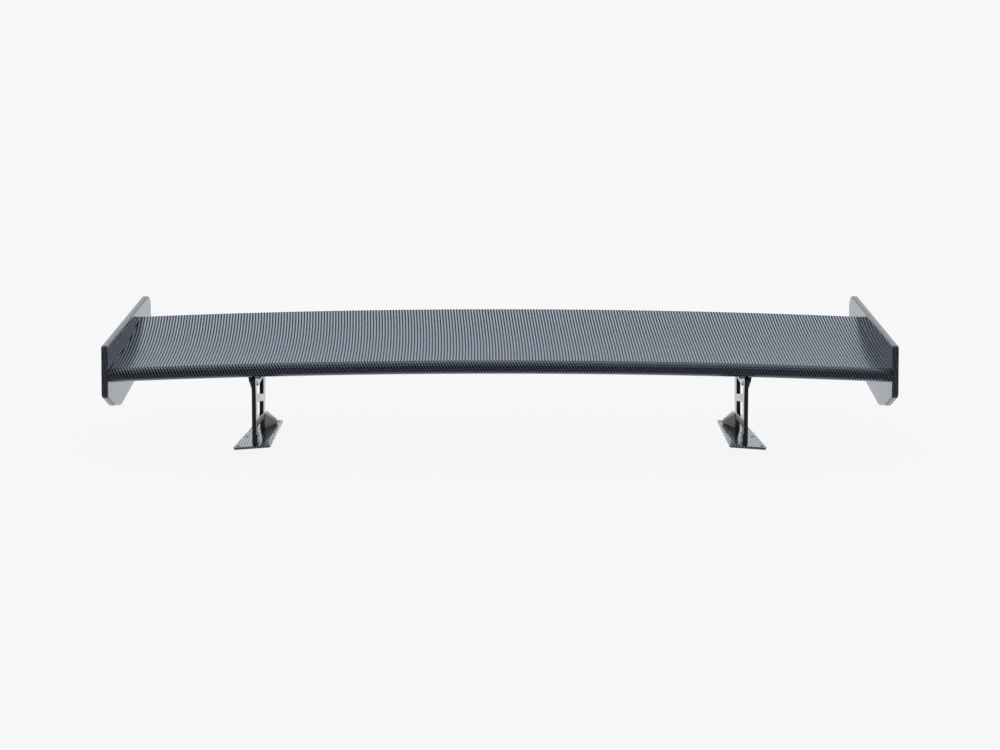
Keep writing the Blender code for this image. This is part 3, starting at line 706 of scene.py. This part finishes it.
def bladeSection():
    # outer and inner line of the upper skin, then of the lower skin, nose first
    topY = blade["noseTop"][0]
    tailLow = (blade["tail"][0], blade["tail"][1] - blade["tailThickness"])
    noseBack = (topY - gap, blade["noseTop"][1])
    nose = bezier(noseBack, *blade["noseHandles"], blade["noseFront"], blade["noseSteps"])
    chin = bezier(blade["noseFront"], *blade["chinHandles"], blade["belly"], blade["chinSteps"])
    belly = bezier(blade["belly"], *blade["bellyHandles"], tailLow, blade["bellySteps"])
    lower = nose + chin[1:] + belly[1:]
    chord = blade["tail"][0] - topY
    steps = blade["chordSteps"]
    stations = [topY + chord * k / steps for k in range(steps + 1)]
    upper = [Vector((y, upperHeight(y))) for y in stations]
    frontOfBelly = blade["belly"][0]

    def skinAt(point):
        # towards the tail the two skins share the room there is
        if point.x < frontOfBelly:
            return blade["skin"]
        room = upperHeight(point.x) - lineHeight(belly, point.x)
        return min(blade["skin"], (room - gap) / 2)

    upperIn = offsetLine(upper, skinAt, -1)
    lowerIn = offsetLine(lower, skinAt, 1)
    for line, y in ((upperIn, topY), (lowerIn, topY - gap)):
        line[0].x = y
        line[-1].x = blade["tail"][0]
    return upper, upperIn, lower, lowerIn, len(nose) - 1


upperLine, upperInLine, lowerLine, lowerInLine, noseCount = bladeSection()
underLine = lowerLine[noseCount:]  # the lower skin behind its foremost point


def loftSkin(name, outline):
    # the closed outline runs the span along the arch; weave runs with the span and round the section
    bm = bmesh.new()
    layer = bm.loops.layers.uv.new("weave")
    walked = [0.0]
    for a, b in zip(outline, outline[1:] + outline[:1]):
        walked.append(walked[-1] + (b - a).length)
    half = blade["halfSpan"]
    stations = [-half + 2 * half * k / blade["spanSteps"] for k in range(blade["spanSteps"] + 1)]
    rings = [[bm.verts.new((x, p.x, p.y + archRise(x))) for p in outline] for x in stations]
    count = len(outline)
    placed = list(zip(stations, rings))
    for (xa, a), (xb, b) in zip(placed, placed[1:]):
        for k in range(count):
            nextK = (k + 1) % count
            face = bm.faces.new((a[k], a[nextK], b[nextK], b[k]))
            corners = ((xa, walked[k]), (xa, walked[k + 1]), (xb, walked[k + 1]), (xb, walked[k]))
            for loop, corner in zip(face.loops, corners):
                loop[layer].uv = corner
    for ring in (rings[0], rings[-1]):
        cap = bm.faces.new(ring)
        for loop in cap.loops:
            loop[layer].uv = (loop.vert.co.y, loop.vert.co.z)
    return addPiece(name, bm, 40)


def softTail(outer, inner):
    # closed outline of a skin with the two corners of its tail rounded
    points = [(p.x, p.y, 0.0) for p in outer[:-1]]
    points += [(outer[-1].x, outer[-1].y, blade["tailEdge"]), (inner[-1].x, inner[-1].y, blade["tailEdge"])]
    points += [(p.x, p.y, 0.0) for p in inner[-2::-1]]
    return roundCorners(points, 3)


bracket = {
    "screwX": 0.4640,
    "screwY": {"front": pivotY - 0.022, "rear": pivotY + 0.061},
    "screwRadius": 0.003,
    "slopeReach": 0.004,  # half the length over which the skin's slope is taken
    "flangeThickness": 0.004,
    "flangeWidth": 0.030,
    "flangeEdge": 0.0006,
    "lugThickness": 0.004,
    "lugY": (-0.1225, 0.0020),
    "lugEdge": 0.0005,
    # lower rim of the lug, from the rear to the front
    "lugLow": ((0.0010, 0.1110, 0.002), (-0.0160, 0.1085, 0.006), (-0.0620, 0.1060, 0.012),
               (-0.0800, 0.0985, 0.012), (-0.0940, 0.0965, 0.002), (-0.1215, 0.1200, 0.002)),
}


def bracketScrewAxis(place, side):
    # point on the lower skin, and the skin's upward normal there
    x, y = side * bracket["screwX"], bracket["screwY"][place]
    reach = bracket["slopeReach"]
    slope = (lineHeight(underLine, y + reach) - lineHeight(underLine, y - reach)) / (2 * reach)
    return Vector((x, y, lineHeight(underLine, y) + archRise(x))), Vector((0, -slope, 1)).normalized()


def spin(bm, profile, origin, axis, segments):
    # turned solid; profile points are (radius, distance along the axis, form)
    turn = Vector(axis).to_track_quat("Z", "Y").to_matrix().to_4x4()
    turn.translation = Vector(origin)
    rings = []
    for radius, along, *form in profile:
        if radius == 0:
            rings.append([bm.verts.new(turn @ Vector((0, 0, along)))])
            continue
        ring = []
        for k in range(segments):
            angle = 2 * math.pi * k / segments
            reach, place = formReach(radius, along, angle, form)
            out = Vector((reach * math.cos(angle), reach * math.sin(angle), place))
            ring.append(bm.verts.new(turn @ out))
        rings.append(ring)
    if profile[0][0] > 0:
        rings.append(rings[0])
    for a, b in zip(rings, rings[1:]):
        for k in range(segments):
            corners = (a[k % len(a)], a[(k + 1) % len(a)], b[(k + 1) % len(b)], b[k % len(b)])
            bm.faces.new(list(dict.fromkeys(corners)))


def drill(bm, radius, start, end, origin, axis):
    spin(bm, [(0, start), (radius, start), (radius, end), (0, end)], origin, axis, facets["drilled"])


def formReach(radius, along, angle, form):
    # hex: radius is half across the flats; crownDown, crownUp: its corners fall away; thread: one start
    if not form:
        return radius, along
    if form[0] == "thread":
        depth, pitch = form[1:]
        return radius - depth * (0.5 + 0.5 * math.cos(2 * math.pi * along / pitch - angle)), along
    turn = (angle + math.pi / 6) % (math.pi / 3) - math.pi / 6
    reach = min(radius / math.cos(turn), radius * 1.13)
    fall = (reach - radius * 0.985) * math.tan(math.radians(30))
    if form[0] == "crownDown":
        return reach, along + fall
    if form[0] == "crownUp":
        return reach, along - fall
    return reach, along


def makeBlade():
    upper = loftSkin("upperSkin", softTail(upperLine, upperInLine))
    fit(upper, "blade", "blade_upper_skin", "bladeTop")
    lower = loftSkin("lowerSkin", softTail(lowerLine, lowerInLine))
    holes = bmesh.new()
    for _, side in sides:
        for place in bracket["screwY"]:
            origin, axis = bracketScrewAxis(place, side)
            radius = bracket["screwRadius"] + gap
            drill(holes, radius, -0.002, 0.004, origin, axis)
    combine(lower, holes, "DIFFERENCE")
    fit(lower, "blade", "blade_lower_skin", "bladeNose")


makeBlade()
print("blade lofted")


endPlate = {
    # (Y, Z, corner radius)
    "outline": ((-0.1613, 0.1945, 0.006), (-0.18155, 0.1070, 0.010), (-0.1370, 0.0785, 0.020),
                (-0.0930, 0.0665, 0.018), (0.1650, 0.1035, 0.010), (0.1843, 0.2175, 0.020)),
    "edge": 0.003,
    "edgeSteps": 5,
}
sunkScrew = {
    "headRadius": 0.0048,
    "headHeight": 0.0026,
    "radius": 0.0025,
    "socket": 0.0014,  # half across the flats of the hexagon key
    "socketDepth": 0.0018,
    "socketCone": 0.0004,  # how much deeper the socket's middle is
    "rim": 0.0002,
    "neck": (0.0008, 0.0012),  # end of the plain shank, start of the thread
    "tip": 0.0006,
    "tipShare": 0.72,
    "holeReach": 0.006,  # how far its cutter stands out
    "pitch": 0.0008,
}


def sunkHole(length):
    head, shank = sunkScrew["headRadius"] + gap, sunkScrew["radius"] + gap
    above = -sunkScrew["holeReach"]
    return [(0, above), (head, above), (head, gap), (shank, sunkScrew["headHeight"] + gap),
            (shank, length + gap), (0, length + gap)]


def threadRings(radius, start, end, pitch):
    depthShare, ringsPerTurn = 0.55, 8
    depth = pitch * depthShare
    count = max(4, math.ceil((end - start) / pitch * ringsPerTurn))
    return [(radius, start + (end - start) * k / count, "thread", depth, pitch) for k in range(count + 1)]


def sunkScrewBody(length):
    size = sunkScrew
    head, shank, seat = size["headRadius"], size["radius"], size["headHeight"]
    rim, socket, depth = size["rim"], size["socket"], size["socketDepth"]
    plainEnd, threadStart = size["neck"]
    profile = [(0, depth + size["socketCone"]), (socket, depth, "hex"),
               (socket, rim, "hex"), (socket + rim, 0, "hex"),
               (head - rim, 0), (head, rim), (shank, seat), (shank, seat + plainEnd)]
    profile += threadRings(shank, seat + threadStart, length - size["tip"], size["pitch"])
    return profile + [(shank * size["tipShare"], length), (0, length)]


def fastener(name, profile, origin, axis, body, slot, finish, node):
    bm = bmesh.new()
    spin(bm, profile, origin, axis, facets["fastener"])
    piece = addPiece(name, bm, 38)
    fit(piece, body, node, finish)


def makeEndPlate(word, side):
    node = "endplate_" + word
    inner, outer = mirroredPair(node)
    outline = roundCorners(endPlate["outline"], 14)
    bm = plateMesh(node, [outline], outer - inner, endPlate["edge"], endPlate["edgeSteps"])
    standUp(bm, side * inner, side * outer)
    plate = addPiece("endPlate_" + word, bm)
    holes = bmesh.new()
    inwards = (-side, 0, 0)
    for place in ("front", "middle", "rear"):
        screw = f"endplate_screw_{place}_{word}"
        low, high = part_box(screw)
        near, far = mirroredPair(screw)
        origin = (side * far, *middleYz(low, high))
        spin(holes, sunkHole(far - near), origin, inwards, facets["sunk"])
        body = sunkScrewBody(far - near)
        name = f"endScrew_{place}_{word}"
        fastener(name, body, origin, inwards, "blade", "black_screws", "blackSteel", screw)
    combine(plate, holes, "DIFFERENCE")
    boxWeave(plate)
    sharpen(plate)
    fit(plate, "blade", node, "endPlate")


for word, side in sides:
    makeEndPlate(word, side)
print("end plates made")


def sweepX(bm, outline, stations, lift):
    rings = [[bm.verts.new((x, p[0], p[1] + lift(x))) for p in outline] for x in stations]
    count = len(outline)
    for a, b in zip(rings, rings[1:]):
        for k in range(count):
            bm.faces.new((a[k], a[(k + 1) % count], b[(k + 1) % count], b[k]))
    bm.faces.new(rings[0])
    bm.faces.new(rings[-1])


def clipLine(line, y0, y1, lift):
    inside = [Vector((p.x, p.y)) for p in line if y0 < p.x < y1]
    ends = [Vector((y, lineHeight(line, y))) for y in (y0, y1)]
    return [p + Vector((0, lift)) for p in (ends[0], *inside, ends[1])]


def roundRims(bm, width, steps, angle=50):
    sharp = math.radians(angle)
    rims = [edge for edge in bm.edges if len(edge.link_faces) == 2 and edge.calc_face_angle() > sharp]
    bmesh.ops.bevel(bm, geom=rims, offset=width, offset_type="OFFSET", segments=steps, profile=0.5,
                    affect="EDGES", clamp_overlap=True)


def makeBracket(word, side):
    node = "wing_bracket_" + word
    _, outer = mirroredPair(node)
    low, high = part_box(node)
    _, plateOut = mirroredPair("upright_" + word)
    thick = bracket["flangeThickness"]
    lugThick = bracket["lugThickness"]
    flange = bmesh.new()
    top = clipLine(underLine, low.y, high.y, -gap)
    under = clipLine(underLine, low.y, high.y, -gap - thick)
    inner = outer - bracket["flangeWidth"]
    span = [side * (inner + (outer - inner) * k / 4) for k in range(5)]
    sweepX(flange, top + under[::-1], span, archRise)
    bmesh.ops.recalc_face_normals(flange, faces=flange.faces)
    roundRims(flange, bracket["flangeEdge"], 3)
    piece = addPiece("bracket_" + word, flange)
    lugTop = clipLine(underLine, *bracket["lugY"], -gap - thick / 2 + archRise(plateOut))
    outline = [(p.x, p.y, 0.0) for p in lugTop] + list(bracket["lugLow"])
    holeRadius = bracket["screwRadius"] + gap
    adjusterLow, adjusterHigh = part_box("adjuster_bolt_" + word)
    adjuster = middleYz(adjusterLow, adjusterHigh)
    rings = [ringOutline(place, holeRadius) for place in ((pivotY, pivotZ), adjuster)]
    lug = plateMesh(node, [roundCorners(outline, 6), *rings], lugThick, bracket["lugEdge"])
    standUp(lug, side * (plateOut + gap), side * (plateOut + gap + lugThick))
    combine(piece, lug, "UNION")
    holes = bmesh.new()
    for place in bracket["screwY"]:
        origin, axis = bracketScrewAxis(place, side)
        seat = -gap - thick
        drill(holes, holeRadius, seat - 0.002, 0.002, origin, axis)
        screw = f"bracket_screw_{place}_{word}"
        body = buttonScrewBody(seat - 2 * gap)
        fastener(f"bracketScrew_{place}_{word}", body, origin, axis, "blade", "zinc_steel", "zinc", screw)
    combine(piece, holes, "DIFFERENCE")
    sharpen(piece)
    fit(piece, "blade", node, "black")


buttonScrew = {
    "headRadius": 0.005,
    "headHeight": 0.003,
    "socket": 0.0016,
    "socketDepth": 0.0018,
    "socketCone": 0.0004,
    "rim": 0.0002,
    "domeFrom": math.radians(22),  # where the dome starts
    "domeShare": 0.85,  # its height, as a share of the head's
    "domeSteps": 7,
    "neck": (0.0012, 0.0016),
    "length": 0.0135,
    "tip": 0.0007,
    "tipShare": 0.75,
    "pitch": 0.001,
}


def buttonScrewBody(seat):
    size = buttonScrew
    crown = seat - size["headHeight"]
    head, radius = size["headRadius"], bracket["screwRadius"]
    rim, socket, first = size["rim"], size["socket"], size["domeFrom"]
    depth = crown + size["socketDepth"]
    plainEnd, threadStart = size["neck"]
    profile = [(0, depth + size["socketCone"]), (socket, depth, "hex"),
               (socket, crown + rim, "hex"), (socket + rim, crown, "hex")]
    for k in range(size["domeSteps"] + 1):
        angle = first + (math.pi / 2 - first) * k / size["domeSteps"]
        dome = size["headHeight"] * size["domeShare"] * (1 - math.cos(angle) / math.cos(first))
        profile.append((head * math.sin(angle) ** 0.5, crown + dome))
    profile += [(head, seat - rim), (head - rim, seat), (radius, seat), (radius, seat + plainEnd)]
    tip = seat + size["length"]
    profile += threadRings(radius, seat + threadStart, tip - size["tip"], size["pitch"])
    return profile + [(radius * size["tipShare"], tip), (0, tip)]


for word, side in sides:
    makeBracket(word, side)
print("brackets made")


boltSet = {
    "flats": 0.005,  # half across the flats of head and nut
    "radius": 0.003,
    "head": 0.004,
    "dish": (0.55, 0.62),  # shallow dish in the head, as shares of flats
    "dishDepth": 0.0004,
    "chamfer": 0.93,  # where the corners fall away, share of flats
    "seat": 0.94,  # round face under the head, share of flats
    "seatHeight": 0.0003,
    "threadLength": 0.009,
    "tip": 0.0007,
    "tipShare": 0.76,
    "boreEdge": 0.0005,
    "pitch": 0.001,
    "washerEdge": 0.0003,
}


def hexBoltBody(length):
    flats, radius, head = boltSet["flats"], boltSet["radius"], boltSet["head"]
    dishIn, dishOut = (flats * share for share in boltSet["dish"])
    dishLow, seat, lift = boltSet["dishDepth"] - head, flats * boltSet["seat"], boltSet["seatHeight"]
    plainEnd = length - boltSet["threadLength"]
    profile = [(0, dishLow), (dishIn, dishLow), (dishOut, -head), (flats * boltSet["chamfer"], -head),
               (flats, -head, "crownDown"), (flats, -lift - 0.0001, "hex"), (flats * 0.99, -lift, "hex"),
               (seat, -lift), (seat, 0), (radius, 0), (radius, plainEnd)]
    profile += threadRings(radius, plainEnd + 0.0004, length - boltSet["tip"], boltSet["pitch"])
    return profile + [(radius * boltSet["tipShare"], length), (0, length)]


def hexNutBody(thickness):
    flats, bore, edge = boltSet["flats"], boltSet["radius"] + gap, boltSet["boreEdge"]
    chamfer = flats * boltSet["chamfer"]
    return [(bore, edge), (bore + edge, 0), (chamfer, 0), (flats, 0, "crownDown"),
            (flats, thickness, "crownUp"), (chamfer, thickness), (bore + edge, thickness),
            (bore, thickness - edge)]


def washerBody(inner, outer, thickness):
    edge = boltSet["washerEdge"]
    half, third = edge / 2, edge / 3
    return [(inner, half), (inner + half, 0),
            (outer - edge, 0), (outer - third, third), (outer, edge),
            (outer, thickness - edge), (outer - third, thickness - third), (outer - edge, thickness),
            (inner + half, thickness), (inner, thickness - half)]


def makeBoltSet(kind, body, word, side):
    bolt = f"{kind}_bolt_{word}"
    low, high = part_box(bolt)
    near, far = mirroredPair(bolt)
    y, z = middleYz(low, high)
    across = (side, 0, 0)
    seat = near + boltSet["head"]
    looks = ("zinc_steel", "zinc")
    fastener(f"{kind}Bolt_{word}", hexBoltBody(far - seat), (side * seat, y, z), across, body, *looks, bolt)
    nut = f"{kind}_nut_{word}"
    near, far = mirroredPair(nut)
    fastener(f"{kind}Nut_{word}", hexNutBody(far - near), (side * near, y, z), across, body, *looks, nut)
    for place in ("inner", "outer"):
        washer = f"{kind}_washer_{place}_{word}"
        near, far = mirroredPair(washer)
        low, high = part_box(washer)
        ring = washerBody(boltSet["radius"] + gap, (high.z - low.z) / 2, far - near)
        fastener(f"{kind}Washer_{place}_{word}", ring, (side * near, y, z), across, body, *looks, washer)


for word, side in sides:
    makeBoltSet("pivot", "stands", word, side)
    makeBoltSet("adjuster", "blade", word, side)
print("bolts, nuts and washers made")


base = {
    # plan corners (X, Y) of the left plate; the plate rises inwards from its outer edge
    "corners": ((0.480, -0.153), (0.463, 0.010), (0.412, 0.010), (0.412, -0.153)),
    "cornerRadius": 0.005,
    "thickness": 0.0045,
    "roll": math.radians(4.2),
    "edge": 0.0005,
    "holes": ((0.4715, -0.1445), (0.4645, -0.0880), (0.4555, 0.0010),
              (0.4205, -0.1445), (0.4205, -0.0720), (0.4205, 0.0010)),
    "holeRadius": 0.00325,
    "screws": {"front": (0.4425, -0.1300), "rear": (0.4433, -0.0330), "gusset": (0.4275, -0.0150)},
    "screwLength": 0.017,
}
upright = {
    # (Y, Z, corner radius)
    "outline": ((-0.1195, 0.1255, 0.005), (-0.1228, 0.0930, 0.030), (-0.1400, 0.0, 0.0), (-0.1205, 0.0, 0.0),
                (-0.1182, 0.0330, 0.006), (-0.0440, 0.0270, 0.006), (-0.0475, 0.0, 0.0), (-0.0060, 0.0, 0.0),
                (-0.0060, 0.0165, 0.003), (-0.0259, 0.0330, 0.008), (0.0080, 0.1365, 0.006)),
    "upperWindow": ((-0.1030, 0.0914, 0.003), (-0.0371, 0.0730, 0.003), (-0.0290, 0.1040, 0.003),
                    (-0.0890, 0.1025, 0.002), (-0.1100, 0.1195, 0.0015)),
    "lowerWindow": ((-0.1063, 0.0772, 0.003), (-0.1148, 0.0454, 0.003), (-0.0464, 0.0384, 0.003),
                    (-0.0406, 0.0599, 0.003)),
    "footPad": ((-0.1410, 0.0, 0.0), (-0.1180, 0.0, 0.0), (-0.1180, 0.024, 0.001), (-0.1355, 0.024, 0.001)),
    "footPadStep": 0.0020,  # how far the front foot is thicker inwards
    "padSunk": 0.002,  # how far the pad runs into the plate
    "padEdge": 0.0005,
    "footReach": 0.012,  # height over which the feet follow the slanted plate
    "slotSteps": 16,
    "slotCapSteps": 12,
    "edge": 0.0006,
    "bushRadius": 0.0047,
}
gusset = {
    "footFront": -0.0440,
    "footBack": (-0.0075, -0.0065),
    "toeFront": -0.0150,
    "crestFront": -0.0300,
    "crestBack": -0.0100,
    "toeCrestFront": -0.0135,
    "crestHeight": 0.0325,
    "toeHeight": 0.0150,
    "edge": 0.0007,
}


def baseBottom(x, y):
    (xa, ya), (xb, yb) = base["corners"][:2]
    edge = math.hypot(xb - xa, yb - ya)
    distance = ((xa - abs(x)) * (yb - ya) + (y - ya) * (xb - xa)) / edge
    return distance * math.tan(base["roll"])


def baseTop(x, y):
    return baseBottom(x, y) + base["thickness"] / math.cos(base["roll"])


def baseNormal(side):
    x, y = base["corners"][2]
    dx = (baseBottom(x + 1, y) - baseBottom(x, y)) * side
    dy = baseBottom(x, y + 1) - baseBottom(x, y)
    return Vector((-dx, -dy, 1)).normalized()


def standOnBase(bm, clearance):
    # the lowest stretch of the feet is pressed up to the slanted plate
    for vertex in bm.verts:
        share = max(0.0, 1 - vertex.co.z / upright["footReach"])
        vertex.co.z += (baseTop(vertex.co.x, vertex.co.y) + clearance) * share


def footScrewHoles(bm, places, side):
    for place in places:
        x, y = base["screws"][place]
        origin = (side * x, y, baseBottom(x, y) + gap)
        spin(bm, sunkHole(base["screwLength"]), origin, baseNormal(side), facets["drilled"])


def makeBasePlate(word, side):
    corners = [(side * x, y, base["cornerRadius"]) for x, y in base["corners"]]
    outlines = [roundCorners(corners, 8)]
    outlines += [ringOutline((side * x, y), base["holeRadius"], 32) for x, y in base["holes"]]
    bm = plateMesh("base_plate_" + word, outlines, base["thickness"], base["edge"])
    for vertex in bm.verts:
        height = (vertex.co.z + base["thickness"] / 2) / math.cos(base["roll"])
        vertex.co.z = baseBottom(vertex.co.x, vertex.co.y) + height
    plate = addPiece("basePlate_" + word, bm)
    holes = bmesh.new()
    footScrewHoles(holes, base["screws"], side)
    combine(plate, holes, "DIFFERENCE")
    boxWeave(plate)
    sharpen(plate)
    fit(plate, "stands", "base_plate_" + word, "basePlate")
    for place, (x, y) in base["screws"].items():
        origin = (side * x, y, baseBottom(x, y) + gap)
        body = sunkScrewBody(base["screwLength"])
        screw = f"foot_screw_{place}_{word}"
        name = f"footScrew_{place}_{word}"
        fastener(name, body, origin, baseNormal(side), "stands", "zinc_steel", "zinc", screw)


def slotOutline(word):
    # curved round the pivot, as long as the tilt needs
    low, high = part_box("adjuster_bolt_" + word)
    pivot = Vector((pivotY, pivotZ))
    arm = Vector(middleYz(low, high)) - pivot
    halfWidth = boltSet["radius"] + gap * 1.5
    endAngle = math.radians(tilt["range_deg"][1]) + 2 * gap / arm.length
    steps, capSteps = upright["slotSteps"], upright["slotCapSteps"]
    outer, inner = [], []
    for step in range(steps + 1):
        along = Matrix.Rotation(-endAngle + 2 * endAngle * step / steps, 2) @ arm
        outer.append(pivot + along * (1 + halfWidth / arm.length))
        inner.append(pivot + along * (1 - halfWidth / arm.length))
    caps = []
    for angle, first in ((endAngle, 0), (-endAngle, math.pi)):
        along = (Matrix.Rotation(angle, 2) @ arm).normalized()
        centre = pivot + Matrix.Rotation(angle, 2) @ arm
        turns = [Matrix.Rotation(first + math.pi * k / capSteps, 2) for k in range(1, capSteps)]
        caps.append([centre + turn @ along * halfWidth for turn in turns])
    return outer + caps[0] + inner[::-1] + caps[1]


def crossScrewOrigin(word, side):
    screw = "gusset_screw_" + word
    low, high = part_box(screw)
    near, far = mirroredPair(screw)
    return Vector((side * far, *middleYz(low, high))), far - near


def makeUpright(word, side):
    node = "upright_" + word
    padIn, plateOut = mirroredPair(node)
    plateIn = padIn + upright["footPadStep"]
    outlines = [roundCorners(upright["outline"], 10), roundCorners(upright["upperWindow"], 6),
                roundCorners(upright["lowerWindow"], 6), slotOutline(word),
                ringOutline((pivotY, pivotZ), upright["bushRadius"] + gap, 40)]
    bm = plateMesh(node, outlines, plateOut - plateIn, upright["edge"])
    standUp(bm, side * plateIn, side * plateOut)
    standOnBase(bm, gap)
    piece = addPiece("upright_plate_" + word, bm)
    sunk = upright["padSunk"]
    padOutline = roundCorners(upright["footPad"], 4)
    pad = plateMesh(node + ".pad", [padOutline], upright["footPadStep"] + sunk, upright["padEdge"])
    standUp(pad, side * padIn, side * (plateIn + sunk))
    standOnBase(pad, 4 * gap)
    combine(piece, pad, "UNION")
    holes = bmesh.new()
    origin, length = crossScrewOrigin(word, side)
    spin(holes, sunkHole(length), origin, (-side, 0, 0), facets["sunk"])
    footScrewHoles(holes, ("front", "rear"), side)
    combine(piece, holes, "DIFFERENCE")
    sharpen(piece)
    fit(piece, "stands", node, "black")


def makeGusset(word, side):
    node = "rear_gusset_" + word
    toe, plate = mirroredPair(node)
    back, plateBack = gusset["footBack"]
    high, toeTop = gusset["crestHeight"], gusset["toeHeight"]
    foot = ((plate, gusset["footFront"]), (toe, gusset["toeFront"]), (toe, back), (plate, plateBack))
    crest = ((plate, gusset["crestFront"], high), (toe, gusset["toeCrestFront"], toeTop),
             (toe, back, toeTop), (plate, gusset["crestBack"], high))
    bm = bmesh.new()
    for x, y in foot:
        bm.verts.new((side * x, y, baseTop(x, y) + gap))
    for x, y, z in crest:
        bm.verts.new((side * x, y, z))
    bmesh.ops.convex_hull(bm, input=bm.verts)
    bmesh.ops.dissolve_limit(bm, angle_limit=math.radians(2), verts=bm.verts, edges=bm.edges)
    roundRims(bm, gusset["edge"], 3, 15)
    piece = addPiece("gusset_" + word, bm)
    origin, length = crossScrewOrigin(word, side)
    holes = bmesh.new()
    spin(holes, sunkHole(length), origin, (-side, 0, 0), facets["sunk"])
    footScrewHoles(holes, ("gusset",), side)
    combine(piece, holes, "DIFFERENCE")
    sharpen(piece)
    fit(piece, "stands", node, "gusset")
    body, screw = sunkScrewBody(length), "gusset_screw_" + word
    fastener(f"crossScrew_{word}", body, origin, (-side, 0, 0), "stands", "zinc_steel", "zinc", screw)


for word, side in sides:
    makeBasePlate(word, side)
    makeUpright(word, side)
    makeGusset(word, side)
print("stands made")


def paintNode(node, finish):
    mesh = frame["nodes"][node].data
    mesh.materials.clear()
    mesh.materials.append(finishes[finish])


for node in ("front_spar", "rear_spar", "trailing_edge_strip"):
    paintNode(node, "laminate")
for word, _ in sides:
    for place in ("inner", "outer"):
        paintNode(f"mount_rib_{place}_{word}", "laminate")
    paintNode("end_rib_" + word, "aluminium")
    paintNode("hard_point_" + word, "aluminium")
    paintNode("pivot_bush_" + word, "brass")
print("inner pieces painted")
